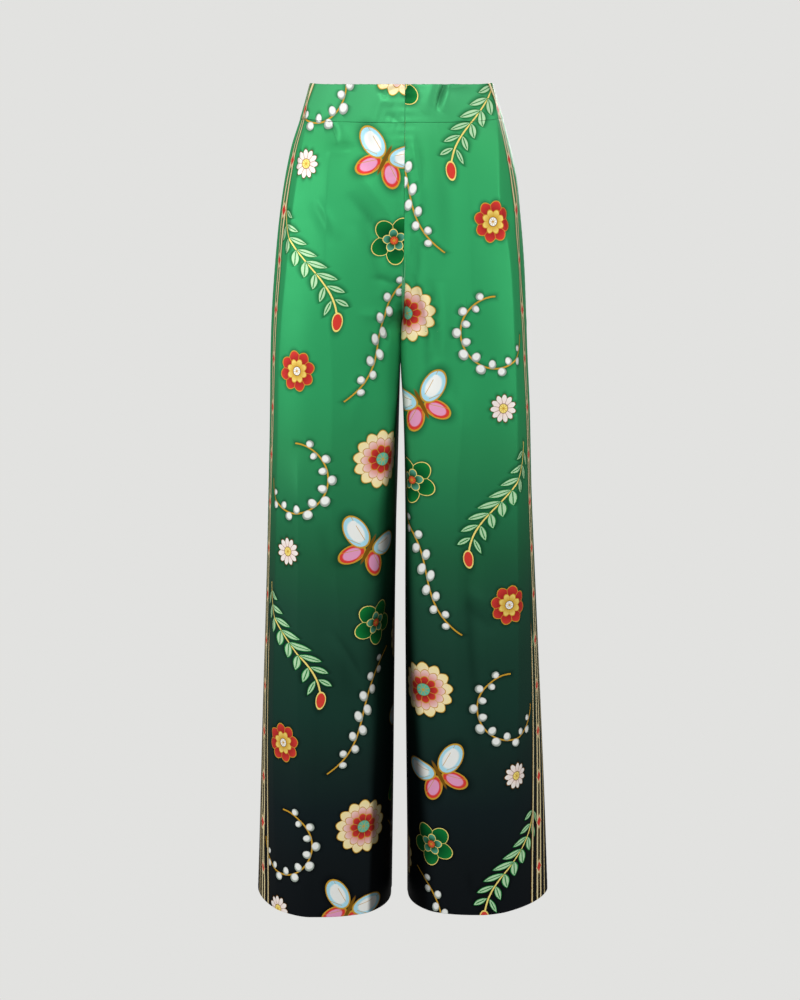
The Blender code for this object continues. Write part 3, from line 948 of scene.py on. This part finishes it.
class Finish:
    """The nodes of a material or a world, and the one way that they are added."""

    def __init__(self, owner):
        owner.use_nodes = True
        self.owner, self.tree = owner, owner.node_tree
        self.tree.nodes.clear()

    def node(self, kind, settings=None, sockets=None, output=0):
        """Adds a node: its settings first, then the values or links of its sockets."""
        made = self.tree.nodes.new(kind)
        for name, value in (settings or {}).items():
            if name == "stops":
                self._set_stops(made.color_ramp, value)
            else:
                setattr(made, name, value)
        for name, value in (sockets or {}).items():
            self._feed(made.inputs[name], value)
        return Wire(self, made.outputs[output]) if made.outputs else None

    def _feed(self, socket, value):
        if isinstance(value, Wire):
            self.tree.links.new(value.socket, socket)
        else:
            socket.default_value = value

    @staticmethod
    def _set_stops(ramp, stops):
        while len(ramp.elements) < len(stops):
            ramp.elements.new(1.0)
        for element, (place, colour) in zip(ramp.elements, stops):
            element.position = place
            element.color = colour

    def math(self, operation, *values, clamp=False):
        settings = {"operation": operation, "use_clamp": clamp}
        return self.node("ShaderNodeMath", settings, dict(enumerate(values)))

    def over(self, ground, colour, mask):
        """A colour laid over another one where a mask is 1."""
        sockets = {0: mask, 6: ground, 7: colour}
        return self.node("ShaderNodeMix", {"data_type": "RGBA"}, sockets, output=2)

    def dim(self, colour, factor):
        """A colour made darker or lighter by a value."""
        return self.node("ShaderNodeVectorMath", {"operation": "SCALE"}, {0: colour, "Scale": factor})

    def split(self, vector):
        """The first two parts of a vector."""
        made = self.node("ShaderNodeSeparateXYZ", None, {0: vector})
        outputs = made.socket.node.outputs
        return Wire(self, outputs[0]), Wire(self, outputs[1])

    def join(self, x, y):
        return self.node("ShaderNodeCombineXYZ", None, {0: x, 1: y})

    def noise(self, vector, scale, detail=2.0):
        sockets = {"Vector": vector, "Scale": scale, "Detail": detail}
        return self.node("ShaderNodeTexNoise", {"noise_dimensions": "3D"}, sockets)

    def surface(self, **sockets):
        """The closing shader. Names have _ for the spaces of the sockets' names."""
        named = {name.replace("_", " "): value for name, value in sockets.items()}
        shader = self.node("ShaderNodeBsdfPrincipled", None, named)
        self.node("ShaderNodeOutputMaterial", None, {0: shader})
        return self.owner


def paint(red, green, blue):
    """A shader colour from a dye's screen values out of 255."""
    def linear(value):
        value /= 255.0
        return value / 12.92 if value <= 0.04045 else ((value + 0.055) / 1.055) ** 2.4
    return (linear(red), linear(green), linear(blue), 1.0)


WHITE = paint(232, 234, 230)
GOLD = paint(196, 150, 48)
PALE_GOLD = paint(238, 216, 120)
DARK_GOLD = paint(120, 82, 22)
STRAW = paint(186, 160, 100)
PALE_STRAW = paint(226, 215, 170)
CORAL = paint(208, 62, 52)
DARK_CORAL = paint(140, 26, 32)
PINK = paint(220, 150, 186)
BLOSSOM = paint(236, 214, 206)
CREAM = paint(240, 226, 150)
MINT = paint(176, 214, 170)
AQUA = paint(96, 176, 150)
EMERALD = paint(20, 122, 56)
DARK_EMERALD = paint(8, 70, 34)
SKY = paint(164, 214, 230)
STONE = paint(150, 160, 150)
SHEEN_TINT = paint(150, 150, 150)

# The dye's fade, from bright green at the waist to near black at the hem, at drops in millimetres
Dye = namedtuple("Dye", "drop red green blue")
FADE = (
    Dye(0, 70, 166, 108), Dye(77, 58, 165, 100), Dye(139, 52, 159, 97), Dye(265, 48, 153, 93),
    Dye(393, 45, 146, 89), Dye(470, 43, 131, 80), Dye(536, 37, 113, 72), Dye(608, 33, 91, 60),
    Dye(675, 31, 72, 54), Dye(745, 28, 61, 48), Dye(815, 26, 55, 46), Dye(885, 25, 43, 39),
    Dye(960, 21, 31, 33), Dye(1030, 20, 25, 27), Dye(1102, 18, 21, 24),
)

# How uneven the fade is, and the reverse: how much duller and paler it is, with which white, and how much
# rougher
FADE_UNEVEN = 0.035
REVERSE_DULLER = 0.9
REVERSE_PALER = 0.10
PALE_TONE = 0.35
REVERSE_ROUGHER = 0.22

# The weave: how many slubs a metre has along the weft and along the warp, how much those of the warp count,
# how deep they all are, and how much the roughness changes
WEFT_SLUBS = (90.0, 1100.0, 1.0)
WARP_SLUBS = (800.0, 60.0, 1.0)
WARP_SHARE = 0.6
SLUB_DEPTH = 0.0006
ROUGHNESS_SPREAD = 0.10

# The print, in centimetres: a lattice of motifs whose columns are set half a repeat lower in turn
REPEAT_WIDTH = 21.5
REPEAT_LENGTH = 50.0
# How soft the edges of the colours are, how steeply a sprig is cut off at its ends, how wide the halo is,
# and how far the print keeps from the side line
SOFT_EDGE = 0.045
CUT_OFF = 50.0
HALO = 0.75
CLEAR_OF_LINE = 0.3

# The line down each side: how far from the side seam it runs, how it wanders, its two rails as half their
# distance and half their width, the diamonds, and the finer lines beside it, which begin low down
LINE_FROM_SEAM = 4.2
LINE_WANDER = 0.9
LINE_WANDER_LENGTH = 95.0
LINE_WANDER_START = 0.53
RAIL_AT = 0.52
RAIL = 0.27
DIAMOND = 0.86
DIAMOND_STEP = 6.4
FINE_LINE_AT = 1.9
FINE_LINE = 0.22
FINE_LINES_BEGIN = 58.0
FINE_LINES_GROW = 16.0


def motif_place(finish, cell, x, y, turn, size=1.0):
    """Coordinates round a motif in a repeat, in centimetres of its own size."""
    settings = {"vector_type": "TEXTURE"}
    sockets = {
        "Vector": cell,
        "Location": (x, y, 0.0),
        "Rotation": (0.0, 0.0, radians(turn)),
        "Scale": (size, size, size),
    }
    return finish.split(finish.node("ShaderNodeMapping", settings, sockets))


def polar(x, y):
    """Distance and angle round a point."""
    return x.hypot(y), y.math("ARCTAN2", x)


# A motif: its signed distance, and its colours from the bottom up, each with its mask. The numbers in the
# functions that draw motifs are centimetres, slopes and shares of each motif's own size.
Motif = namedtuple("Motif", "edge layers")


def filled(edge, colour, softer=1.0):
    """A layer of a motif that fills its edge with a colour."""
    return edge.inside(SOFT_EDGE * softer), colour


def leafy_sprig(s, t, half_length, step, leaf, colours):
    """A stem along s with a pair of leaves at even steps, smaller towards both ends, and a bud."""
    stem_colour, fill, shade, bud_colour = colours
    taper = 1.0 - abs(s) * (0.45 / half_length)
    from_middle = s - ((s / step).floor() + 0.5) * step
    lean = abs(t) - leaf * 0.66
    along_leaf = from_middle * 0.72 + lean * 0.69
    across_leaf = abs(lean * 0.72 - from_middle * 0.69)
    leaf_edge = (across_leaf * 2.3 + along_leaf * along_leaf / leaf - taper * leaf) * 0.38
    ends = abs(s) - half_length
    leaf_edge = leaf_edge.most(ends * CUT_OFF)
    stem = (abs(t) - 0.11).most(ends - 1.0)
    bud = (((s - half_length - 1.1) / 1.15).hypot(t / 0.72) - 1.0) * 0.8
    layers = (
        filled(stem, stem_colour),
        filled(leaf_edge, shade),
        filled(leaf_edge + taper * 0.13, fill, 1.5),
        filled((across_leaf - 0.07).most(leaf_edge + 0.2), shade, 1.5),
        filled(bud, stem_colour),
        filled(bud + 0.14, bud_colour),
    )
    return Motif(leaf_edge.least(stem).least(bud), layers)


def berry_sprig(s, t, half_length, step, berry, colours):
    """A stem along s with round berries on either side in turn."""
    stem_colour, fill, shade = colours
    taper = 1.0 - abs(s) * (0.30 / half_length)
    number = (s / step).floor()
    from_middle = s - (number + 0.5) * step
    turned = (number * 0.5 - (number * 0.5).floor()) * 4.0 - 1.0
    lean = t - turned * (berry * 0.80)
    ends = abs(s) - half_length
    round_edge = (from_middle.hypot(lean) - taper * berry).most(ends * CUT_OFF)
    lit = (from_middle + berry * 0.14).hypot(lean + berry * 0.14) - taper * berry * 0.78
    stem = (abs(t) - 0.10).most(ends - 1.4)
    layers = (
        filled(stem, stem_colour),
        filled(round_edge, shade),
        filled(lit.most(ends * CUT_OFF), fill, 4.0),
    )
    return Motif(round_edge.least(stem), layers)


PetalRing = namedtuple("PetalRing", "radius count depth turn outline shade fill")


def flower(x, y, rings, heart, heart_colour):
    """Rings of rounded petals, one on another, round a domed heart."""
    away, angle = polar(x, y)
    layers, edges = [], []
    for ring in rings:
        lobes = abs((angle * (ring.count / 2.0) + ring.turn).cos())
        edge = away - lobes * (ring.depth * ring.radius) - (1.0 - ring.depth) * ring.radius
        line = (lobes * away * (2.0 / ring.count) - 0.028).most(edge)
        bloom = (away * (1.5 / ring.radius) - 0.55).held()
        layers += [
            filled(edge, ring.outline),
            filled(edge + 0.12, ring.shade),
            ((edge + 0.12).inside(SOFT_EDGE) * bloom, ring.fill),
            filled(line, ring.outline),
        ]
        edges.append(edge)
    middle = away - heart
    speck = (abs((angle * 4.0).sin()) * away - 0.12).most(middle + 0.16)
    layers += [
        filled(middle, DARK_GOLD),
        filled(middle + 0.09, heart_colour),
        filled(speck, GOLD),
    ]
    return Motif(edges[0], layers)


def butterfly(x, y, colours):
    """A butterfly with spread wings, gold at their edges and veins."""
    upper_fill, upper_rim, lower_fill, outline = colours
    side = abs(x)
    reach, lift = side - 1.85, y + 1.05
    upper = ((reach * 0.82 - lift * 0.57) / 1.85).hypot((reach * 0.57 + lift * 0.82) / 1.10) - 1.0
    reach, lift = side - 1.20, y - 1.15
    lower = ((reach * 0.64 + lift * 0.77) / 1.40).hypot((lift * 0.64 - reach * 0.77) / 0.90) - 1.0
    lower_wing, upper_wing = lower * 0.92, upper * 1.16
    edge = upper_wing.least(lower_wing)
    away, angle = polar(side, y + 0.1)
    vein = (abs((angle * 5.0).sin()) * away - 0.13).most(edge + 0.05).most(0.9 - away)
    spot = (side - 2.45).hypot(y + 1.70) - 0.32
    body = ((side / 0.20).hypot((y - 0.1) / 1.55) - 1.0) * 0.20
    layers = (
        filled(lower_wing, outline),
        filled(lower_wing + 0.12, CORAL),
        filled(lower_wing + 0.34, lower_fill, 2.0),
        filled(upper_wing, outline),
        filled(upper_wing + 0.12, upper_rim),
        filled(upper_wing + 0.42, upper_fill, 3.0),
        filled(vein, outline),
        filled(spot, WHITE),
        filled(body, DARK_GOLD),
    )
    return Motif(edge, layers)


def from_side_line(from_side, drop):
    """How far inwards a place lies from the side line, which wanders a little on its way down."""
    wander = (drop * (tau / LINE_WANDER_LENGTH) - LINE_WANDER_START).sin() * LINE_WANDER
    return from_side - wander - LINE_FROM_SEAM


def side_line(across, drop):
    """Two straw-gold rails with small diamonds between them, and a finer line on each side low down."""
    away = abs(across)
    from_diamond = drop - ((drop / DIAMOND_STEP).floor() + 0.5) * DIAMOND_STEP
    diamond = away * 0.9 + abs(from_diamond) * 0.7 - DIAMOND
    rails = abs(away - RAIL_AT) - RAIL
    begun = ((drop - FINE_LINES_BEGIN) / FINE_LINES_GROW).held()
    fine_lines = abs(away - FINE_LINE_AT) - FINE_LINE + (1.0 - begun) * 0.9
    edge = rails.least(fine_lines).least(diamond)
    rail_shine = abs(away - (RAIL_AT - 0.02)) - (RAIL - 0.10)
    fine_shine = abs(away - (FINE_LINE_AT - 0.04)) - (FINE_LINE - 0.12)
    shine = rail_shine.least(fine_shine).most(edge + 0.08)
    layers = (
        filled(edge, DARK_GOLD, 1.4),
        filled(edge + 0.08, STRAW, 1.4),
        filled(shine, PALE_STRAW, 2.0),
        filled(diamond + 0.14, PALE_STRAW),
        filled(diamond + 0.30, CORAL),
    )
    return Motif(edge, layers)


def motifs_of_a_repeat(finish, cell):
    """The sprigs, flowers and butterfly that one repeat of the print holds."""
    def at(x, y, turn, size=1.0):
        return motif_place(finish, cell, x, y, turn, size)

    berry_colours = (GOLD, WHITE, STONE)
    away, angle = polar(*at(-5.0, -15.8, 40.0))
    curled_berries = berry_sprig(angle * 4.6, away - 4.6, 9.24, 1.32, 0.64, berry_colours)
    x, y = at(-4.8, 6.2, -22.0)
    leaf_colours = (PALE_GOLD, MINT, EMERALD, CORAL)
    leaves = leafy_sprig(y, x - (y * 0.26).sin() * 2.0, 7.6, 1.9, 1.45, leaf_colours)
    x, y = at(5.4, 15.6, 32.0)
    berries = berry_sprig(y, x - (y * 0.28).sin() * 1.6, 7.92, 1.32, 0.64, berry_colours)
    return [
        curled_berries,
        leaves,
        berries,
        flower(*at(6.4, -18.4, 20.0), (
            PetalRing(3.8, 13, 0.16, 0.0, GOLD, BLOSSOM, CREAM),
            PetalRing(2.85, 13, 0.16, 0.8, GOLD, CORAL, BLOSSOM),
            PetalRing(1.9, 9, 0.18, 0.0, GOLD, DARK_CORAL, CORAL),
        ), 0.9, AQUA),
        butterfly(*at(5.0, -6.8, 24.0, 1.3), (WHITE, SKY, PINK, GOLD)),
        flower(*at(-5.6, -6.0, 0.0), (
            PetalRing(1.9, 11, 0.26, 0.0, DARK_GOLD, BLOSSOM, WHITE),
        ), 0.66, PALE_GOLD),
        flower(*at(6.6, 3.4, 10.0), (
            PetalRing(3.1, 5, 0.36, 0.0, PALE_GOLD, DARK_EMERALD, EMERALD),
            PetalRing(1.5, 5, 0.36, 1.6, PALE_GOLD, DARK_EMERALD, AQUA),
        ), 0.55, CORAL),
        flower(*at(-5.4, 20.2, 30.0), (
            PetalRing(2.7, 8, 0.2, 0.0, GOLD, DARK_CORAL, CORAL),
            PetalRing(1.6, 8, 0.25, 0.8, GOLD, GOLD, PALE_GOLD),
        ), 0.62, WHITE),
    ]


def satin_weave(finish, cut, strength):
    """The fine slubs of silk satin, along the weft and the warp, as a bump."""
    along_weft = finish.node("ShaderNodeMapping", None, {"Vector": cut, "Scale": WEFT_SLUBS})
    along_warp = finish.node("ShaderNodeMapping", None, {"Vector": cut, "Scale": WARP_SLUBS})
    height = finish.noise(along_weft, 1.0) + WARP_SHARE * finish.noise(along_warp, 1.0)
    sockets = {"Strength": strength, "Distance": SLUB_DEPTH, "Height": height}
    return finish.node("ShaderNodeBump", None, sockets)


def dyed_ground(finish, cut, drop, lift, pale):
    """The dye at each drop, slightly uneven like a printed bleed, and made lighter by pale."""
    stops = []
    for dye in FADE:
        colour = paint(dye.red, dye.green, dye.blue)
        shown = [min(channel * lift * (1.0 - pale) + pale * PALE_TONE, 1.0) for channel in colour[:3]]
        stops.append((dye.drop * MILLIMETRE / OUTSEAM, (*shown, 1.0)))
    cloud = finish.noise(cut, 9.0, 3.0) - 0.5
    share = drop / OUTSEAM + cloud * FADE_UNEVEN
    return finish.node("ShaderNodeValToRGB", {"stops": stops}, {"Fac": share})


def print_motifs(finish, ground, motifs, halo_strength):
    """Motifs printed on a ground, with a soft dark halo round them all."""
    near = motifs[0].edge
    for motif in motifs[1:]:
        near = near.least(motif.edge)
    halo = 1.0 - (near / HALO).held()
    printed = finish.dim(ground, 1.0 - halo * halo * halo_strength)
    for motif in motifs:
        for mask, colour in motif.layers:
            printed = finish.over(printed, colour, mask)
    return printed


def printed_satin(look):
    """Silk satin in faded green, printed with sprigs, flowers and butterflies, and darkened by painted
    shade in its folds and between the legs.
    """
    finish = Finish(bpy.data.materials.new("printed_satin"))
    cut = finish.node("ShaderNodeUVMap", {"uv_map": "cut"})
    placed = finish.node("ShaderNodeUVMap", {"uv_map": "print"})
    from_side, drop = finish.split(cut)
    dye = dyed_ground(finish, cut, drop, look.dye_strength, 0.0)

    across, down = finish.split(placed)
    across, down = across / CENTIMETRE, down / CENTIMETRE
    column = (across / REPEAT_WIDTH).floor()
    odd = (column * 0.5 - (column * 0.5).floor()) * 2.0
    cell_x = (across - (column + 0.5) * REPEAT_WIDTH) * (1.0 - 2.0 * odd)
    lowered = down + odd * (REPEAT_LENGTH / 2.0)
    cell_y = lowered - ((lowered / REPEAT_LENGTH).floor() + 0.5) * REPEAT_LENGTH
    cell = finish.join(cell_x, cell_y)

    drop = drop / CENTIMETRE
    from_line = from_side_line(from_side / CENTIMETRE, drop)
    printed = print_motifs(finish, dye, motifs_of_a_repeat(finish, cell), look.halo_strength)
    printed = finish.over(dye, printed, (CLEAR_OF_LINE - from_line).inside(SOFT_EDGE))
    printed = print_motifs(finish, printed, [side_line(from_line, drop)], look.halo_strength)
    # Painted shade: the colour is darkened in crease troughs and where the legs face each other
    fold_shade = finish.node("ShaderNodeAttribute", {"attribute_name": "fold_shade"})
    printed = finish.dim(printed, 1.0 - look.fold_shade * fold_shade)
    rough = look.roughness - ROUGHNESS_SPREAD / 2.0 + ROUGHNESS_SPREAD * finish.noise(cut, 38.0)
    return finish.surface(
        Base_Color=printed, Roughness=rough, Normal=satin_weave(finish, cut, 0.10),
        Metallic=0.14, Specular_IOR_Level=0.05, Specular_Tint=SHEEN_TINT,
    )


def satin_reverse(look):
    """The dull side of the same satin: the dye shows through paler, the print hardly."""
    finish = Finish(bpy.data.materials.new("satin_reverse"))
    cut = finish.node("ShaderNodeUVMap", {"uv_map": "cut"})
    drop = finish.split(cut)[1]
    dye = dyed_ground(finish, cut, drop, look.dye_strength * REVERSE_DULLER, REVERSE_PALER)
    rough = look.roughness + REVERSE_ROUGHER + ROUGHNESS_SPREAD * finish.noise(cut, 60.0)
    return finish.surface(
        Base_Color=dye, Roughness=rough, Normal=satin_weave(finish, cut, 0.25),
        Sheen_Weight=0.15, Sheen_Roughness=0.5,
    )


class TrousersCloth(bpy.types.PropertyGroup):
    """The sizes of the cloth and its sewing."""

    thickness: bpy.props.FloatProperty(
        name="Cloth thickness", description="Thickness of one layer of satin",
        default=0.0007, min=0.0003, max=0.0012, unit="LENGTH", precision=5,
    )
    band_thickness: bpy.props.FloatProperty(
        name="Waistband thickness", description="Thickness of the two layers and the stiffening",
        default=0.0019, min=0.0010, max=0.0030, unit="LENGTH", precision=5,
    )
    hem_depth: bpy.props.FloatProperty(
        name="Hem depth", description="How far the hem is turned up inside the leg",
        default=0.020, min=0.008, max=0.060, unit="LENGTH",
    )
    edge_depth: bpy.props.FloatProperty(
        name="Pressed edges", description="How far the edges between flat stretches of a leg stand out",
        default=1.0, min=0.0, max=2.0, subtype="FACTOR",
    )
    crease_depth: bpy.props.FloatProperty(
        name="Crease depth", description="How strongly the small creases show",
        default=1.4, min=0.0, max=2.0, subtype="FACTOR",
    )


class TrousersSatin(bpy.types.PropertyGroup):
    """The finish of the printed satin."""

    roughness: bpy.props.FloatProperty(
        name="Roughness", description="Roughness of the face of the satin",
        default=0.42, min=0.1, max=0.9, subtype="FACTOR",
    )
    dye_strength: bpy.props.FloatProperty(
        name="Dye brightness", description="How light the dyed ground is",
        default=1.0, min=0.3, max=1.6, subtype="FACTOR",
    )
    # How strong the painted shade in crease troughs and between the legs is
    fold_shade: bpy.props.FloatProperty(
        name="Fold shade", description="How much darker the satin is deep in folds and between the legs",
        default=0.80, min=0.0, max=1.0,
    )
    halo_strength: bpy.props.FloatProperty(
        name="Halo", description="How dark the soft edge printed round each motif is",
        default=0.55, min=0.0, max=1.0, subtype="FACTOR",
    )


class TrousersStage(bpy.types.PropertyGroup):
    """The room that the trousers are shown in."""

    backdrop: bpy.props.FloatVectorProperty(
        name="Backdrop", description="Tone of the floor and of the room",
        default=paint(226, 226, 224)[:3], size=3, min=0.0, max=1.0, subtype="COLOR",
    )
    floor_gap: bpy.props.FloatProperty(
        name="Gap to the floor", description="How far the hems hang above the floor",
        default=0.30, min=0.0, max=1.0, unit="LENGTH",
    )
    light_level: bpy.props.FloatProperty(
        name="Light", description="How bright all the lights are together",
        default=1.0, min=0.0, max=3.0, subtype="FACTOR",
    )
    room_light: bpy.props.FloatProperty(
        name="Room light", description="How bright the light from all round is",
        default=0.20, min=0.0, max=2.0,
    )


def satin_finishes(scene):
    """The two finishes of the cloth, made once."""
    made = [bpy.data.materials.get(name) for name in ("printed_satin", "satin_reverse")]
    if None in made:
        made = [printed_satin(scene.trousers_satin), satin_reverse(scene.trousers_satin)]
    return made


def sew_in(scene, name, surface, node, flat, area, held):
    """Puts a piece of cloth into the scene in the place of its solid."""
    mesh = shell_mesh(name, surface)
    for finish in satin_finishes(scene):
        mesh.materials.append(finish)
    piece = bpy.data.objects.new(name, mesh)
    scene.collection.objects.link(piece)
    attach(piece, "root")
    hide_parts(node)


def panel_surface(panel, rows, edges, creases, settings, seed, band=False):
    """The cloth of a leg panel, or of the half of the waistband above it."""
    worn = Worn(panel.side, panel.face, rows, edges, creases, settings, seed, band)
    surface = Surface([worn], rows, panel.side * panel.face < 0)
    surface.print += np.array(panel.print_at) * CENTIMETRE
    return surface


def make_panels(scene, panels, first_seed):
    """Cuts and hangs leg panels, each with its own drape."""
    settings = scene.trousers_cloth
    rows = panel_rows(settings)
    for number, panel in enumerate(panels):
        surface = panel_surface(panel, rows, panel.edges, panel.creases, settings, first_seed + number)
        sew_in(scene, panel.name, surface, panel.node, panel.flat, panel.area, "hung")


class TROUSERS_OT_front_panels(bpy.types.Operator):
    """Cut and hang the two front leg panels"""

    bl_idname = "trousers.front_panels"
    bl_label = "Front Panels"
    bl_options = {"REGISTER", "UNDO"}

    def execute(self, context):
        make_panels(context.scene, PANELS[:2], FRONT_SEED)
        return {"FINISHED"}


class TROUSERS_OT_back_panels(bpy.types.Operator):
    """Cut and hang the two back leg panels"""

    bl_idname = "trousers.back_panels"
    bl_label = "Back Panels"
    bl_options = {"REGISTER", "UNDO"}

    def execute(self, context):
        make_panels(context.scene, PANELS[2:], BACK_SEED)
        return {"FINISHED"}


class TROUSERS_OT_waistband(bpy.types.Operator):
    """Sew on the waistband: two flat fronts and one gathered back"""

    bl_idname = "trousers.waistband"
    bl_label = "Waistband"
    bl_options = {"REGISTER", "UNDO"}

    def execute(self, context):
        scene = context.scene
        settings = scene.trousers_cloth
        rows = band_rows(settings)
        for panel, creases in zip(PANELS[:2], (BAND_RIGHT_CREASES, BAND_LEFT_CREASES)):
            edges = panel.edges[:1]
            surface = panel_surface(panel, rows, edges, creases, settings, FRONT_SEED, band=True)
            name = panel.name.replace("panel", "waistband")
            sew_in(scene, name, surface, "waistband_" + panel.node, *FRONT_BAND_CUT, "hung")
        back = whole_back_band(rows, settings)
        sew_in(scene, "back_waistband", back, "waistband_back", *BACK_BAND_CUT, "gathered")
        return {"FINISHED"}


class TROUSERS_OT_stage(bpy.types.Operator):
    """Set up the pale floor, the soft lights and the camera"""

    bl_idname = "trousers.stage"
    bl_label = "Stage"
    bl_options = {"REGISTER", "UNDO"}

    def execute(self, context):
        scene = context.scene
        settings = scene.trousers_stage
        scene.view_settings.view_transform = "Standard"
        scene.view_settings.look = "None"
        make_floor(scene, settings)
        make_room(scene, settings)
        middle = Vector((0.0, 0.0, HEM_LEVEL / 2.0))
        for light in LIGHTS:
            area_light(scene, light, middle, settings.light_level)
        make_camera(scene)
        return {"FINISHED"}


def make_camera(scene):
    camera = bpy.data.objects.new("camera", bpy.data.cameras.new("camera"))
    camera.location = CAMERA_PLACE
    camera.rotation_euler = (radians(90.0 - CAMERA_DOWN), 0.0, 0.0)
    camera.data.lens = CAMERA_LENS
    scene.collection.objects.link(camera)
    scene.camera = camera


def area_light(scene, light, target, level):
    """A soft round light that lights a surface which faces it by its share, from wherever it stands."""
    lamp = bpy.data.objects.new(light.name, bpy.data.lights.new(light.name, "AREA"))
    turn, lift = radians(light.turn), radians(light.lift)
    level_way = Vector((sin(turn), -cos(turn), 0.0)) * cos(lift)
    aim = (level_way + Vector((0.0, 0.0, sin(lift)))) * -light.distance
    lamp.location = target - aim
    lamp.rotation_euler = aim.to_track_quat("-Z", "Y").to_euler()
    lamp.data.shape = "DISK"
    lamp.data.size = light.size
    lamp.data.energy = level * light.share * pi**2 * aim.length_squared
    lamp.visible_camera = False
    scene.collection.objects.link(lamp)


def make_floor(scene, settings):
    """A floor of one even pale tone, which the light of the room doesn't change."""
    finish = Finish(bpy.data.materials.new("pale_floor"))
    glow = finish.node("ShaderNodeEmission", None, {"Color": (*settings.backdrop, 1.0), "Strength": 1.0})
    finish.node("ShaderNodeOutputMaterial", None, {0: glow})
    mesh = bpy.data.meshes.new("floor")
    level = HEM_LEVEL - settings.floor_gap
    corners = ((-1, -1), (1, -1), (1, 1), (-1, 1))
    mesh.from_pydata([(x * FLOOR_REACH, y * FLOOR_REACH, level) for x, y in corners], [], [(0, 1, 2, 3)])
    mesh.materials.append(finish.owner)
    floor = bpy.data.objects.new("floor", mesh)
    floor.visible_diffuse = False
    floor.visible_glossy = False
    scene.collection.objects.link(floor)


def make_room(scene, settings):
    """The room: the floor's tone for the eye, and a weaker light from all round for the cloth."""
    room = Finish(bpy.data.worlds.new("room"))
    tone = (*settings.backdrop, 1.0)
    seen = room.node("ShaderNodeBackground", None, {"Color": tone})
    light = room.node("ShaderNodeBackground", None, {"Color": tone, "Strength": settings.room_light})
    seen_by_camera = room.node("ShaderNodeLightPath")
    both = room.node("ShaderNodeMixShader", None, {0: seen_by_camera, 1: light, 2: seen})
    room.node("ShaderNodeOutputWorld", None, {0: both})
    scene.world = room.owner


class TROUSERS_PT_panel(bpy.types.Panel):
    """Lists the steps that make the trousers"""

    bl_label = "Pyjama Trousers"
    bl_idname = "TROUSERS_PT_panel"
    bl_space_type = "VIEW_3D"
    bl_region_type = "UI"
    bl_category = "Trousers"

    def draw(self, context):
        for title in GROUPS:
            group = getattr(context.scene, title)
            box = self.layout.box()
            box.label(text=title.removeprefix("trousers_").title())
            for name in group.bl_rna.properties.keys():
                if name not in ("rna_type", "name"):
                    box.prop(group, name)
        for step in STEPS:
            self.layout.operator(step.bl_idname)


STEPS = (
    TROUSERS_OT_front_panels, TROUSERS_OT_back_panels, TROUSERS_OT_waistband, TROUSERS_OT_stage,
)
GROUPS = {
    "trousers_cloth": TrousersCloth,
    "trousers_satin": TrousersSatin,
    "trousers_stage": TrousersStage,
}


def register():
    for made in (*GROUPS.values(), *STEPS, TROUSERS_PT_panel):
        bpy.utils.register_class(made)
    for name, group in GROUPS.items():
        setattr(bpy.types.Scene, name, bpy.props.PointerProperty(type=group))


def unregister():
    for name in GROUPS:
        delattr(bpy.types.Scene, name)
    for made in reversed((*GROUPS.values(), *STEPS, TROUSERS_PT_panel)):
        bpy.utils.unregister_class(made)


def main():
    register()
    bpy.ops.trousers.front_panels()
    bpy.ops.trousers.back_panels()
    bpy.ops.trousers.waistband()
    bpy.ops.trousers.stage()


if __name__ == "__main__":
    main()
